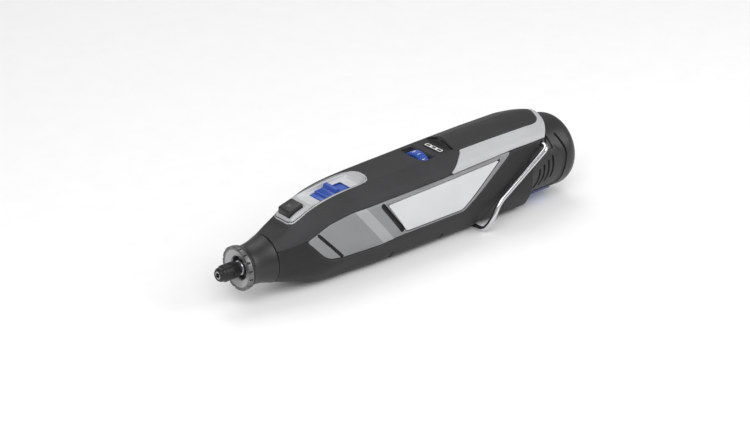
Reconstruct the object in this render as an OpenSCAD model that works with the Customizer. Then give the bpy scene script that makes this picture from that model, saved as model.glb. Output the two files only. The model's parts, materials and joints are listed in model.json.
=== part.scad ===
// Cordless rotary hobby tool: a two-shell housing with a threaded nose, a collet spindle, a slide
// switch, a shaft lock, a speed wheel, a hanging bail and a slide-in battery.
// Millimetres. The underside lies on Z = 0 and the tool's middle is at X = 0, with the nose at -X.
// Inside the modules X counts back from the collet nut's tip and Z is measured from the spindle axis.

/* [Overall] */
// Length from the collet nut's tip to the battery's rear end
overall_l = 250; // [248:1:256]
// Height of the spindle axis above the underside
axis_h = 22.5; // [22.5:0.5:26]
// Half width of the housing at its widest
body_half_w = 23.8; // [23.6:0.1:24.2]
// Thickness of the outer skin: rubber grips, side covers and top panels
skin_t = 1.6; // [1.4:0.1:1.8]
// Wall thickness of the housing shells under the skin
wall_t = 2.2; // [1.8:0.1:2.4]

/* [Collet and spindle] */
// Shank diameter that the collet takes
shank_d = 3.2; // [2.4, 3.2]
// Outside diameter of the collet nut
nut_d = 9.5; // [9:0.1:10]
// Diameter of the spindle in its bearings
spindle_d = 8; // [8]
// Diameter of the lock collar on the spindle
lock_collar_d = 12; // [11:0.5:13]
// Diameter of the shaft lock pin
lock_pin_d = 3.2; // [2.8:0.1:3.4]

/* [Nose] */
// Diameter of the nose thread
nose_thread_d = 19.05; // [19.05]
// Diameter of the metal nose ring
ring_d = 25.2; // [24:0.1:26]
// Diameter of the hole in the nose ring
ring_hole_d = 14; // [13:0.5:15]

/* [Motor] */
// Diameter of the motor can
motor_d = 30; // [28:1:31]
// Number of fan blades
fan_blades = 11; // [7:1:13]
// Number of commutator bars
commutator_bars = 12; // [8:1:14]

/* [Controls] */
// Travel of the slide switch
switch_travel = 5; // [4:0.5:5]
// Travel of the shaft lock button
lock_travel = 3; // [2.5:0.1:3]
// Diameter of the speed wheel
dial_d = 22; // [21:0.5:22.5]
// Number of ribs on the speed wheel
dial_ribs = 30; // [20:1:36]

/* [Battery] */
// Diameter of the battery's outer part
battery_d = 44.4; // [44:0.1:45]
// Diameter of the battery's stick inside the handle
stick_d = 41; // [40.8:0.1:41.2]
// Diameter of one cell
cell_d = 18.2; // [18:0.1:18.3]
// Length of one cell
cell_l = 65.2; // [65:0.1:65.4]

/* [Bail] */
// Diameter of the bail's wire
wire_d = 3; // [2.6:0.1:3.2]

/* [Hidden] */
$fn = 48;
// Clearance between neighbouring pieces of one body
seam_gap = 0.1;
// Clearance between pieces that move past each other
run_gap = 0.3;
// Part of each outline edge that the corner cut takes at either end
corner_cut = 0.22;
// Reach of the cutting solids
far = 80;

// Housing outline at stations along X, as half widths and heights of the middle deck of the top,
// the top ridges, the upper side edges, the widest lines, the lower side edges and the base
//  x, deck_w, deck_z, ridge_w, ridge_z, edge_w, edge_z, side_w, side_z, low_w, low_z, base_w, base_z
stations = [
  [ 31.6, 3.4, 13.6,  8.0, 11.4, 11.9,  7.2, 13.9, 0.0, 11.2,  -8.3,  5.2, -13.0],
  [ 42.4, 5.4, 18.2,  8.6, 17.1, 14.3, 11.3, 16.3, 1.0, 13.9,  -9.5,  8.0, -15.7],
  [ 45.6, 5.6, 22.6,  8.8, 18.8, 14.9, 12.2, 16.9, 1.2, 14.6,  -9.7,  8.4, -16.8],
  [ 57.0, 5.8, 26.0,  9.4, 24.3, 17.2, 15.5, 19.2, 2.0, 17.0, -10.5,  9.5, -20.2],
  [ 67.0, 5.9, 25.9,  9.8, 27.6, 18.6, 18.4, 20.6, 2.5, 18.8,  -8.8, 10.0, -21.6],
  [ 78.0, 5.9, 26.5, 10.1, 29.3, 19.3, 20.4, 21.5, 2.5, 20.0,  -7.0, 10.5, -22.2],
  [ 91.0, 6.0, 27.2, 10.4, 30.1, 20.0, 22.0, 22.3, 2.5, 21.0,  -6.0, 11.5, -22.5],
  [100.4, 5.5, 29.9, 10.5, 30.4, 20.2, 22.6, 22.8, 2.5, 21.4,  -6.0, 12.0, -22.5],
  [120.0, 5.5, 29.8, 11.0, 30.8, 20.4, 23.3, 23.4, 2.5, 21.8,  -6.0, 12.6, -22.5],
  [155.0, 6.0, 30.4, 12.6, 31.0, 20.8, 23.8, 23.7, 2.5, 22.0,  -6.3, 13.0, -22.5],
  [158.0, 2.2, 35.0, 12.7, 31.0, 20.8, 23.8, 23.8, 2.5, 22.0,  -6.4, 13.0, -22.5],
  [185.0, 2.2, 35.3, 13.3, 31.2, 21.0, 24.2, 23.8, 2.5, 22.0,  -8.0, 13.0, -22.5],
  [208.0, 2.2, 35.4, 13.3, 31.3, 21.0, 24.4, 23.8, 2.5, 22.0,  -9.0, 13.0, -22.5],
  [222.0, 2.2, 34.0, 12.8, 30.2, 20.6, 23.8, 23.4, 2.5, 21.5, -10.0, 12.0, -20.5],
  [235.0, 2.2, 30.6, 11.5, 28.0, 19.6, 22.4, 22.6, 2.5, 20.5, -10.0, 11.0, -18.0]
];
body_x0 = stations[0][0];
body_x1 = stations[len(stations) - 1][0];
// The stations are drawn for this half width and are widened or narrowed to body_half_w
drawn_half_w = 23.8;
width_scale = body_half_w / drawn_half_w;

function mix(a, b, t) = a + (b - a) * t;
function bay(x, i = 0) = i >= len(stations) - 2 || x <= stations[i + 1][0] ? i : bay(x, i + 1);
function row_at(x) =
  let (i = bay(x), a = stations[i], b = stations[i + 1])
  mix(a, b, (x - a[0]) / (b[0] - a[0]));

// Corner points of one cross-section, clockwise from the top, seen from the battery end
function corners(r) =
  let (half = [for (k = [1:2:11]) [r[k] * width_scale, r[k + 1]]])
  concat(half, [for (k = [5:-1:0]) [-half[k][0], half[k][1]]]);

// A point of the section moved towards the section's middle, by inset at the top and the sides
function inset_point(p, r, inset) =
  let (top = max(r[2], r[4]), middle = (top + r[12]) / 2, half_h = (top - r[12]) / 2)
  [p[0] * (1 - inset / (r[7] * width_scale)), middle + (p[1] - middle) * (1 - inset / half_h)];

// The section with every corner cut
function section_ring(x, inset) =
  let (r = row_at(x), c = corners(r), n = len(c))
  [for (i = [0:n - 1], t = [corner_cut, 1 - corner_cut])
    inset_point(mix(c[i], c[(i + 1) % n], t), r, inset)];

function span(x0, x1) =
  concat([x0], [for (s = stations) if (s[0] > x0 + 0.5 && s[0] < x1 - 0.5) s[0]], [x1]);

// Solid that follows the housing's outline from x0 to x1, shrunk by inset
module loft(x0, x1, inset = 0) {
  xs = span(x0, x1);
  n = 2 * len(corners(stations[0]));
  m = len(xs);
  points = [for (x = xs, p = section_ring(min(max(x, body_x0), body_x1), inset)) [x, p[0], p[1]]];
  // The two halves are split into mirrored triangles
  sides = [for (i = [0:m - 2], j = [0:n - 1])
    let (a = i * n + j, b = i * n + (j + 1) % n)
    each j >= n / 2 - 1 && j < n - 2
      ? [[a, b, a + n], [b, b + n, a + n]]
      : [[a, b, b + n], [a, b + n, a + n]]];
  front_cap = [for (j = [n - 1:-1:0]) j];
  rear_cap = [for (j = [0:n - 1]) (m - 1) * n + j];
  polyhedron(points, concat(sides, [front_cap], [rear_cap]));
}

// Cylinder along X from x0 to x1
module rod(x0, x1, r) {
  translate([x0, 0, 0])
    rotate([0, 90, 0])
      cylinder(h = x1 - x0, r = r);
}

// Ring along X from x0 to x1
module tube(x0, x1, r, bore) {
  difference() {
    rod(x0, x1, r);
    rod(x0 - 1, x1 + 1, bore);
  }
}

// Solid of revolution about the spindle axis; points are [radius, x]
module turned(points) {
  rotate([0, 90, 0])
    rotate_extrude()
      polygon(points);
}

// Box from its lowest to its highest corner
module block(lo, hi) {
  translate(lo)
    cube(hi - lo);
}

// Outline moved outwards by d; points run counter-clockwise
function unit(v) = v / norm(v);
function grown(p, d) =
  let (n = len(p))
  [for (i = [0:n - 1])
    let (u = unit(p[i] - p[(i + n - 1) % n]), v = unit(p[(i + 1) % n] - p[i]))
    p[i] + d * [u[1] + v[1], -u[0] - v[0]] / (1 + u * v)];

// Prism across the whole tool; points are [x, z]
module side_prism(points) {
  translate([0, far, 0])
    rotate([90, 0, 0])
      linear_extrude(2 * far)
        polygon(points);
}

// Prism up through the top; points are [x, y]
module top_prism(points) {
  translate([0, 0, 8])
    linear_extrude(far)
      polygon(points);
}

// Everything on one side of the middle plane: -1 is the left, 1 the right
module side(s, gap = 0) {
  block([-10, s < 0 ? -far : gap, -far], [overall_l + 100, s < 0 ? -gap : far, far]);
}

// Puts a piece from spindle coordinates into the tool's own frame
module place() {
  translate([-overall_l / 2, 0, axis_h])
    children();
}

/* Outlines, counter-clockwise */
// Mid-grey side cover, [x, z]
cover_line = [
  [48.6, 10], [58, -1.2], [62, -4.2], [71.6, -5.6], [97.6, -6], [105, -3.7], [111.6, -3.3], [156, -2.8],
  [194.8, 23.4], [146.6, 21.4], [103.6, 20.3], [77.6, 19.3], [70.6, 18.2], [63, 16.6], [56.6, 13.7]
];
// Blank badge plate on the side cover, [x, z]
badge_line = [[101.6, 17.3], [113.6, -1.6], [154.6, -1.2], [184.6, 20.6]];
// Light top panel around the switch and the lock button, [x, y]
panel_line = [
  [42.8, -8], [49.6, -8.8], [64, -9], [88, -9.6], [94, -9.4], [98, -7.4], [100.2, -4], [100.8, 0],
  [100.2, 4], [98, 7.4], [94, 9.4], [88, 9.6], [64, 9], [49.6, 8.8], [42.8, 8]
];
// Black inlay on the rear top, [x, y]
inlay_line = [
  [158, -12.4], [208, -12.9], [217, -12.6], [222, -11.4], [226, -8], [228.2, 0],
  [226, 8], [222, 11.4], [217, 12.6], [208, 12.9], [158, 12.4]
];
// Light band around the rear top, [x, z]
band_line = [[146.9, 21.5], [194.8, 23.5], [240, 23.5], [240, 50], [161.4, 50], [160.7, 30.1]];
// Upper grip: above the side covers, from the nose to the band, [x, z]
upper_line = [
  [20, 7.2], [30, 7.5], [41, 9.2], [48.4, 10.2], [56.6, 13.9], [63, 16.8], [70.6, 18.4], [77.6, 19.5],
  [103.6, 20.5], [146.5, 21.6], [160.4, 30.3], [161, 50], [20, 50]
];
// Region ahead of the housing's rear rim, [x, z]
rim_line = [
  [20, -40], [213.6, -40], [213.6, -30], [211.2, -16], [210.6, 4], [212.2, 8.4], [222, 14.6],
  [225.6, 19], [227.5, 23.6], [242, 25.6], [242, 60], [20, 60]
];
rim_arc_x = 205.4;
rim_arc_r = 25.4;

// Region that the housing may fill, ahead of its rear rim and inside the rounded rear end
module rim_region(grow = 0) {
  intersection() {
    side_prism(grown(rim_line, grow));
    union() {
      block([10, -far / 2, -far / 2], [rim_arc_x, far / 2, far]);
      translate([rim_arc_x, 0, -far / 2])
        cylinder(h = far * 1.5, r = rim_arc_r + grow);
    }
  }
}

/* Fixed places along X, and heights over the spindle axis */
skin_core_x1 = 221.9;
motor_x0 = 70.2;
motor_x1 = 118.8;
motor_r = motor_d / 2;
lock_x = 50;
dial_x0 = 137.6;
dial_x1 = 143.6;
dial_z = 20.2;
switch_x0 = 70.4;
switch_x1 = 83.6;
skirt_x0 = 61.9;
skirt_x1 = 89.9;
skirt_z0 = 22.4;
switch_half = 5.5;
button_z0 = 19.5;
lock_pin_rise = 0.6;
badge_t = 0.8;
socket_x0 = 177;
socket_z = 4.3;
stick_r = stick_d / 2;
bail_x = 218;
bail_z = 20.5;
bail_y = 25.8;
bail_foot_x = 172.5;
bail_foot_z = -20.8;
wire_r = wire_d / 2;
screw_places = [[54, -14], [126, -14.6], [164, -14.6]];
// Screw bosses, and where the screw heads sit to the right of the middle plane
boss_r = 4.6;
screw_head_y = 9;

// The outer skin, solid behind the housing shells
module skin() {
  intersection() {
    difference() {
      loft(body_x0, body_x1);
      loft(body_x0 - 2, skin_core_x1, skin_t);
    }
    rim_region();
  }
}

module bail_groove() {
  block([170.3, -30, -24], [178, 30, -18.9]);
}

module bail_sockets() {
  translate([bail_x, -30, bail_z])
    rotate([-90, 0, 0])
      cylinder(h = 60, r = wire_r - 0.05);
}

// Windows for the lock button, the slide switch, the speed wheel and the gauge
module control_openings() {
  block([lock_x - 5.1, -5.1, button_z0 - lock_travel - run_gap], [lock_x + 5.1, 5.1, 40]);
  block([67.2, -5.8, 22.2], [switch_x1 + switch_travel + 0.6, 5.8, 40]);
  block([dial_x0 - 1, -10.4, 18], [dial_x1 + 1, 10.4, 40]);
  block([150.6, -7.6, 26], [154.8, 7.6, 40]);
}

module battery_way(gap = 0) {
  translate([0, 0, socket_z])
    rod(socket_x0, overall_l + 20, stick_r + gap);
}

module screw_holes() {
  for (p = screw_places)
    translate([p[0], 0, p[1]])
      rotate([-90, 0, 0]) {
        translate([0, 0, -7])
          cylinder(h = 40, r = 1.3);
        translate([0, 0, screw_head_y])
          cylinder(h = 30, r = 3.1);
      }
}

module screw_bosses() {
  for (p = screw_places)
    translate([p[0], -far / 2, p[1]])
      rotate([-90, 0, 0])
        cylinder(h = far, r = boss_r);
}

// The left housing shell without its screw holes
module shell() {
  inner = skin_t + wall_t;
  difference() {
    intersection() {
      loft(body_x0 + 0.2, skin_core_x1 - 0.1, skin_t);
      rim_region();
      side(-1, 0.02);
    }
    // Room for the spindle and the fan, under the block that guides the lock pin
    difference() {
      loft(44, 67, inner);
      block([43, -7, 8.6], [57, 7, 40]);
      screw_bosses();
    }
    // Motor room between two ribs, and control room
    loft(motor_x0, 80, inner);
    loft(83, 105, inner);
    loft(107.7, motor_x1, inner);
    difference() {
      loft(121.6, 168, inner);
      screw_bosses();
    }
    // Seat of the nose collar and openings for the motor
    rod(20, 45, 9.7);
    rod(33, 36.2, 11.1);
    rod(motor_x0 - 0.05, motor_x1 + 0.05, motor_r + 0.05);
    rod(60, 130, 12);
    // Contact block seat and battery socket
    block([160, -9.2, -6.2], [180, 9.2, 14.8]);
    battery_way(run_gap);
    // Switch guide, lock pin guide, bail sockets and groove, screws
    block([61.4, -7.7, 22], [skirt_x1 + switch_travel + 0.7, 7.7, 27]);
    translate([lock_x, 0, 0])
      cylinder(h = 30, r = lock_pin_d / 2 + 0.05);
    translate([lock_x, 0, 12.4])
      cylinder(h = 10, r = 3);
    bail_sockets();
    bail_groove();
    control_openings();
  }
}

// One housing shell: -1 is the left, 1 the right
module housing(s) {
  color("dimgray")
    difference() {
      mirror([0, s > 0 ? 1 : 0, 0])
        shell();
      screw_holes();
    }
}

module housing_left() { place() housing(-1); }
module housing_right() { place() housing(1); }

// Lower rubber grip with the rear boot
module grip(s) {
  color([0.17, 0.17, 0.18])
    difference() {
      intersection() {
        skin();
        side(s, 0.05);
      }
      // The wider cuts leave no slivers where three skins meet
      side_prism(grown(upper_line, 2 * seam_gap));
      side_prism(grown(cover_line, seam_gap));
      side_prism(grown(band_line, 2 * seam_gap));
      top_prism(grown(inlay_line, seam_gap));
      bail_sockets();
      bail_groove();
      battery_way(run_gap);
      if (s > 0)
        screw_holes();
    }
}

module grip_left() { place() grip(-1); }
module grip_right() { place() grip(1); }

// Slanted slot in a side cover, from its upper to its lower end [x, z]
module slot(top, foot, w) {
  side_prism([top - [w / 2, 0], foot - [w / 2, 0], foot + [w / 2, 0], top + [w / 2, 0]]);
}

module side_cover(s) {
  color([0.55, 0.56, 0.57])
    difference() {
      intersection() {
        skin();
        side(s);
        side_prism(cover_line);
      }
      // Pocket for the badge and two dark slots
      difference() {
        side_prism(grown(badge_line, seam_gap));
        loft(90, 195, badge_t);
      }
      slot([56.6, 12.4], [70.2, -4.4], 1.8);
      slot([97.6, 18.6], [110.8, -0.6], 3);
    }
}

module side_cover_left() { place() side_cover(-1); }
module side_cover_right() { place() side_cover(1); }

module badge(s) {
  color([0.84, 0.85, 0.86])
    intersection() {
      difference() {
        loft(95, 190);
        loft(94, 191, badge_t);
      }
      side(s);
      side_prism(badge_line);
    }
}

module badge_left() { place() badge(-1); }
module badge_right() { place() badge(1); }

module top_panel() {
  place()
    color([0.75, 0.76, 0.77])
      difference() {
        intersection() {
          skin();
          top_prism(panel_line);
        }
        control_openings();
      }
}

module upper_grip() {
  place()
    color([0.17, 0.17, 0.18])
      difference() {
        intersection() {
          skin();
          side_prism(upper_line);
        }
        top_prism(grown(panel_line, seam_gap));
        top_prism(grown(inlay_line, seam_gap));
        control_openings();
      }
}

module rear_band() {
  place()
    color([0.75, 0.76, 0.77])
      difference() {
        intersection() {
          skin();
          side_prism(band_line);
        }
        top_prism(grown(inlay_line, seam_gap));
        battery_way(run_gap);
      }
}

module top_inlay() {
  place()
    color([0.13, 0.13, 0.14])
      difference() {
        intersection() {
          skin();
          top_prism(inlay_line);
        }
        battery_way(run_gap);
      }
}

module housing_screws() {
  place()
    color("silver")
      for (p = screw_places)
        translate([p[0], 0, p[1]])
          rotate([-90, 0, 0])
            difference() {
              union() {
                translate([0, 0, -6.8])
                  cylinder(h = 6.8 + screw_head_y, r = 1.25);
                translate([0, 0, screw_head_y])
                  cylinder(h = 2.2, r = 2.8);
              }
              translate([0, 0, screw_head_y + 1])
                cylinder(h = 2, r = 1.3, $fn = 6);
            }
}

/* Nose */
bearing_r = 8;
bearing_w = 5;
bearing_places = [24, 38];
nose_thread_r = nose_thread_d / 2;
cap_bore_r = nose_thread_r + 0.075;
ring_r = ring_d / 2;
cap_x0 = 15.5;
cap_x1 = 31.3;
ring_notches = 16;

module nose_collar() {
  place()
    color("gray")
      turned([
        [bearing_r, 19], [nose_thread_r, 19], [nose_thread_r, 31.6], [9.65, 31.6], [9.65, 33.1],
        [11, 33.1], [11, 36.1], [9.65, 36.1], [9.65, 43.8], [bearing_r, 43.8], [bearing_r, 38],
        [6.6, 38], [6.6, 29], [bearing_r, 29]
      ]);
}

module nose_cap() {
  place()
    color([0.15, 0.15, 0.16])
      turned([
        [10.05, cap_x0], [12.2, cap_x0], [11.5, 17], [11.25, 19], [11.3, 21], [11.7, 24],
        [12.5, 27.5], [13.3, 30], [13.8, cap_x1], [cap_bore_r, cap_x1], [cap_bore_r, 18.6],
        [10.05, 18.6]
      ]);
}

module nose_ring() {
  place()
    color("lightgray")
      difference() {
        turned([
          [ring_hole_d / 2, 14], [ring_r - 1.2, 12.5], [ring_r - 0.4, 12.35], [ring_r, 12.7],
          [ring_r, 15.3], [10, 15.3], [10, 18.4], [6, 18.4], [6, 14.6]
        ]);
        // Wrench socket behind the hole
        rod_hex(13.6, 20, 7.4);
        for (k = [0:ring_notches - 1])
          rotate([360 / ring_notches * k, 0, 0])
            block([12, -0.35, ring_r - 0.5], [14.2, 0.35, ring_r + 1]);
      }
}
module rod_hex(x0, x1, r) {
  translate([x0, 0, 0])
    rotate([0, 90, 0])
      cylinder(h = x1 - x0, r = r, $fn = 6);
}

/* Collet and spindle */
shank_r = shank_d / 2;
nut_r = nut_d / 2;
spindle_r = spindle_d / 2;
collar_r = lock_collar_d / 2;
shaft_r = 1.6;

module collet_nut() {
  place()
    color([0.12, 0.12, 0.12])
      turned([
        [2.35, 0], [3.1, 0], [3.9, 1], [4.15, 2.8], [nut_r, 3.4], [nut_r, 12.1],
        [nut_r - 0.4, 12.4], [3.55, 12.4], [3.55, 4.4], [3.05, 4.2], [2.35, 1.7]
      ]);
}

module collet() {
  place()
    color("silver")
      difference() {
        turned([
          [shank_r, 0.3], [2.2, 0.3], [2.2, 1.8], [2.85, 3.9], [2, 4.1], [2, 17], [shank_r, 17]
        ]);
        for (k = [0:1])
          rotate([45 + 90 * k, 0, 0])
            block([-1, -0.25, -4], [9, 0.25, 4]);
      }
}

module spindle() {
  place()
    color("silver")
      difference() {
        union() {
          rod(4.5, 14.6, 3.5);
          rod(14.6, 44.3, spindle_r);
          rod(44.3, 56, collar_r);
          rod(56, 59, 3);
        }
        rod(4, 18.4, 2.05);
        // Four holes that take the lock pin
        for (k = [0:3])
          rotate([90 * k, 0, 0])
            translate([lock_x, 0, collar_r + lock_pin_rise - lock_travel - 0.9])
              cylinder(h = 6, r = lock_pin_d / 2 + 0.15);
      }
}

module coupling() {
  place()
    color("orange")
      difference() {
        rod(56.3, 61.7, 5.4);
        rod(56, 59.1, 3);
        rod(59, 62, shaft_r);
      }
}

module fan() {
  place()
    color("white")
      difference() {
        union() {
          rod(62, 66.8, 3.6);
          rod(65.8, 66.8, 12.4);
          for (k = [0:fan_blades - 1])
            rotate([360 / fan_blades * k, 0, 0])
              block([62.2, -0.5, 3], [66, 0.5, 12]);
        }
        rod(61, 68, shaft_r);
      }
}

module bearing_outer_races() {
  place()
    color("silver")
      for (x = bearing_places)
        tube(x, x + bearing_w, bearing_r, 6.6);
}

module bearing_inner_races() {
  place()
    color("silver")
      for (x = bearing_places)
        tube(x, x + bearing_w, 5.2, spindle_r);
}

module bearing_balls() {
  place()
    color("gainsboro")
      for (x = bearing_places, k = [0:8])
        rotate([40 * k, 0, 0])
          translate([x + bearing_w / 2, 0, 5.9])
            sphere(r = 0.62);
}

/* Motor */
can_t = 1.2;

module motor_can() {
  place()
    color("lightslategray")
      difference() {
        union() {
          rod(motor_x0, 116, motor_r);
          rod(67.6, 71, 5);
        }
        rod(71.6, 117, motor_r - can_t);
        rod(67, 72, 3.2);
      }
}

module motor_bushings() {
  place()
    color("peru") {
      tube(67.6, 72.4, 3.2, shaft_r + 0.03);
      tube(113.4, 118.8, 3.2, shaft_r + 0.03);
    }
}

module motor_magnets() {
  place()
    color("darkslategray")
      difference() {
        tube(75, 103, motor_r - can_t - 0.02, 11.2);
        block([70, -5, -20], [110, 5, 20]);
      }
}

module motor_shaft() {
  place()
    color("silver")
      rod(59.2, 121, shaft_r);
}

slots_n = 5;

module armature() {
  place()
    color("slategray")
      difference() {
        rod(77, 101, 10.6);
        rod(76, 102, shaft_r);
        for (k = [0:slots_n - 1])
          rotate([360 / slots_n * k, 0, 0]) {
            translate([0, 0, 7])
              rod(76, 102, 2.4);
            block([76, -0.6, 7], [102, 0.6, 12]);
          }
      }
}

module armature_windings() {
  place()
    color("chocolate") {
      tube(73.4, 76.9, 9.6, 3);
      tube(101.1, 104.6, 9.6, 3);
      for (k = [0:slots_n - 1])
        rotate([360 / slots_n * k, 0, 0])
          translate([0, 0, 7])
            rod(76, 102, 2.3);
    }
}

module commutator() {
  place()
    color("peru")
      difference() {
        tube(105.2, 112, 4.8, shaft_r);
        for (k = [0:commutator_bars - 1])
          rotate([360 / commutator_bars * k, 0, 0])
            block([105, -0.2, 4.2], [111, 0.2, 6]);
      }
}

module motor_end_cap() {
  place()
    color([0.2, 0.2, 0.2])
      difference() {
        union() {
          rod(116.05, motor_x1, motor_r - 0.1);
          rod(112.6, 116.1, motor_r - can_t - 0.1);
          for (s = [-1, 1])
            block([106.4, -3, s > 0 ? 6 : -13], [113, 3, s > 0 ? 13 : -6]);
        }
        rod(112, 120, 3.2);
        rod(105, 113.2, 5.6);
        // Brush guides
        block([107, -2.05, -12.4], [111.6, 2.05, 12.4]);
      }
}

module brushes() {
  place()
    color([0.1, 0.1, 0.1])
      for (s = [0, 180])
        rotate([s, 0, 0])
          block([107.1, -1.95, 4.95], [111.5, 1.95, 9]);
}

// Compression spring along Z: rings of wire joined by a rod
module spring(z0, z1, r, wire, turns) {
  for (k = [0:turns - 1])
    translate([0, 0, z0 + wire + (z1 - z0 - 2 * wire) * k / (turns - 1)])
      rotate_extrude()
        translate([r - wire, 0])
          circle(r = wire, $fn = 16);
  translate([r - wire, 0, z0 + wire])
    cylinder(h = z1 - z0 - 2 * wire, r = wire * 0.8, $fn = 16);
}

module brush_springs() {
  place()
    color("goldenrod")
      for (s = [0, 180])
        rotate([s, 0, 0])
          translate([109.3, 0, 0])
            spring(9.1, 12.2, 1.7, 0.25, 4);
}

/* Controls */
lock_r = lock_pin_d / 2;

module lock_button() {
  place()
    color([0.2, 0.2, 0.21])
      side_wedge(
        [[lock_x - 4.8, button_z0], [lock_x + 4.8, button_z0], [lock_x + 4.8, 27.1],
         [lock_x + 3.9, 27.4], [lock_x - 4.2, 25.2], [lock_x - 4.8, 24.6]],
        4.7
      );
}

// Prism across the tool of half width w; points are [x, z]
module side_wedge(points, w) {
  translate([0, w, 0])
    rotate([90, 0, 0])
      linear_extrude(2 * w)
        polygon(points);
}

module lock_pin() {
  place()
    color("silver")
      translate([lock_x, 0, collar_r + lock_pin_rise])
        cylinder(h = button_z0 - 0.1 - collar_r - lock_pin_rise, r = lock_r);
}

module lock_spring() {
  place()
    color("silver")
      translate([lock_x, 0, 0])
        spring(12.5, button_z0 - 0.1, 2.7, 0.3, 5);
}

module slide_switch() {
  place()
    color([0.16, 0.3, 0.66])
      union() {
        side_wedge([[skirt_x0, skirt_z0], [skirt_x1, skirt_z0], [skirt_x1, 25.1], [skirt_x0, 24]], 7.4);
        block([67.4, -switch_half, 23.7], [84, switch_half, 25]);
        block([73, -1.2, 20.6], [74.4, 1.2, 22.5]);
        side_wedge(
          [[switch_x0, 24], [81.8, 24], [81.6, 25.4], [80.4, 26.4], [79.4, 29], [77.4, 29],
           [76.6, 26.9], [70.8, 26.4]],
          switch_half
        );
      }
}

module switch_module() {
  place()
    color([0.25, 0.25, 0.25])
      difference() {
        block([70.6, -5, 16.2], [79.7, 5, 22.1]);
        block([72.6, -1.5, 20.3], [79.75, 1.5, 23]);
      }
}

dial_r = dial_d / 2;

module speed_dial() {
  place()
    translate([0, 0, dial_z])
      color([0.16, 0.3, 0.66])
        difference() {
          union() {
            rod(dial_x0, dial_x1, dial_r - 0.5);
            for (k = [0:dial_ribs - 1])
              rotate([360 / dial_ribs * k, 0, 0])
                block([dial_x0 + 0.4, -0.5, dial_r - 1.2], [dial_x1 - 0.4, 0.5, dial_r]);
          }
          rod(dial_x0 - 1, dial_x1 + 1, 1.55);
        }
}

module speed_control() {
  place()
    color([0.2, 0.3, 0.25]) {
      union() {
        block([144.8, -6, 6.7], [148.6, 6, 25.6]);
        translate([0, 0, dial_z])
          rod(137.2, 145, 1.5);
      }
    }
}

module circuit_board() {
  place()
    color([0.1, 0.35, 0.2])
      union() {
        block([124, -16, 5], [167.5, 16, 6.6]);
        // Power switches, coil and controller on the board
        for (y = [-12, 12])
          block([128, y - 2.5, 6.5], [136, y + 2.5, 9.5]);
        block([158, -5, 6.5], [165, 5, 8]);
        translate([154, 11.5, 6.5])
          cylinder(h = 8, r = 3.2);
      }
}

module gauge_leds() {
  place()
    color("whitesmoke")
      union() {
        block([151, -6, 6.7], [152, 6, 25.1]);
        block([149.6, -7, 25], [155.6, 7, 25.8]);
        for (y = [-4.6, 0, 4.6])
          translate([152.7, y, 25.7])
            cylinder(h = 1.7, r = 1);
      }
}

module gauge_window() {
  place()
    color("white")
      for (y = [-4.6, 0, 4.6])
        block([151, y - 2, 27.8], [154.4, y + 2, 30.5]);
}

module gauge_frame() {
  place()
    color([0.1, 0.1, 0.1])
      difference() {
        block([150.7, -7.5, 28.4], [154.7, 7.5, 30.3]);
        for (y = [-4.6, 0, 4.6])
          block([150.95, y - 2.05, 27], [154.45, y + 2.05, 31]);
      }
}

contact_places = [-6, 0, 6];

module contact_block() {
  place()
    color([0.15, 0.15, 0.15])
      difference() {
        block([168.1, -9, -6], [176.8, 9, 14.6]);
        for (y = contact_places)
          block([167, y - 1, -2], [178, y + 1, 10]);
      }
}

module tool_contacts() {
  place()
    color("gold")
      for (y = contact_places)
        block([167.8, y - 0.9, -1.8], [177.4, y + 0.9, 9.8]);
}

/* Hanging bail */
// Corners of one half of the wire, from the pivot to the middle of the foot
bail_corners = [
  [bail_x, bail_y - 3, bail_z], [bail_x, bail_y, bail_z], [180.5, bail_y, -3.6],
  [176, bail_y - 0.2, -12.6], [bail_foot_x + 0.4, 21.4, bail_foot_z], [bail_foot_x, 0, bail_foot_z]
];
bend_reach = 2.6;
peg_r = wire_r - 0.1;
peg_y0 = 16.5;
peg_y1 = bail_y - 2.4;

// The wire's centre line with each corner rounded by a quadratic curve
function bend(a, b, c) =
  let (
    p = b + unit(a - b) * min(bend_reach, norm(a - b) * 0.9),
    q = b + unit(c - b) * min(bend_reach, norm(c - b) * 0.45)
  )
  [for (t = [0:0.25:1]) p * (1 - t) * (1 - t) + b * 2 * t * (1 - t) + q * t * t];
function bail_side(m) = concat([m[0]], [for (k = [1:len(m) - 2]) each bend(m[k - 1], m[k], m[k + 1])]);
function flipped(p) = [p[0], -p[1], p[2]];

// Wire of radius r along a line of points; its rings are squared up to one direction that the line
// never follows
module wire(line, r) {
  sides = 12;
  ring_ref = [0.54, 0, -0.84];
  n = len(line);
  rings = [for (k = [0:n - 1])
    let (
      d = unit(line[min(k + 1, n - 1)] - line[max(k - 1, 0)]),
      e = unit(cross(d, ring_ref)),
      f = cross(d, e)
    )
    each [for (j = [0:sides - 1]) line[k] + r * (cos(360 * j / sides) * e + sin(360 * j / sides) * f)]];
  faces = [for (k = [0:n - 2], j = [0:sides - 1])
    let (a = k * sides + j, b = k * sides + (j + 1) % sides)
    each [[a, b + sides, b], [a, a + sides, b + sides]]];
  first_cap = [for (j = [0:sides - 1]) j];
  last_cap = [for (j = [sides - 1:-1:0]) (n - 1) * sides + j];
  polyhedron(rings, concat(faces, [first_cap], [last_cap]));
}

module hanger_bail() {
  half_line = bail_side(bail_corners);
  line = concat(half_line, [for (k = [len(half_line) - 2:-1:0]) flipped(half_line[k])]);
  place()
    color("silver") {
      wire(line, wire_r);
      for (s = [0, 1])
        mirror([0, s, 0])
          translate([bail_x, peg_y0, bail_z])
            rotate([-90, 0, 0])
              cylinder(h = peg_y1 - peg_y0, r = peg_r);
    }
}

/* Battery */
battery_r = battery_d / 2;
battery_round = 10;
cap_split = 237.5;
cell_ring = 10.6;
cell_room_r = 19.8;

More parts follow.
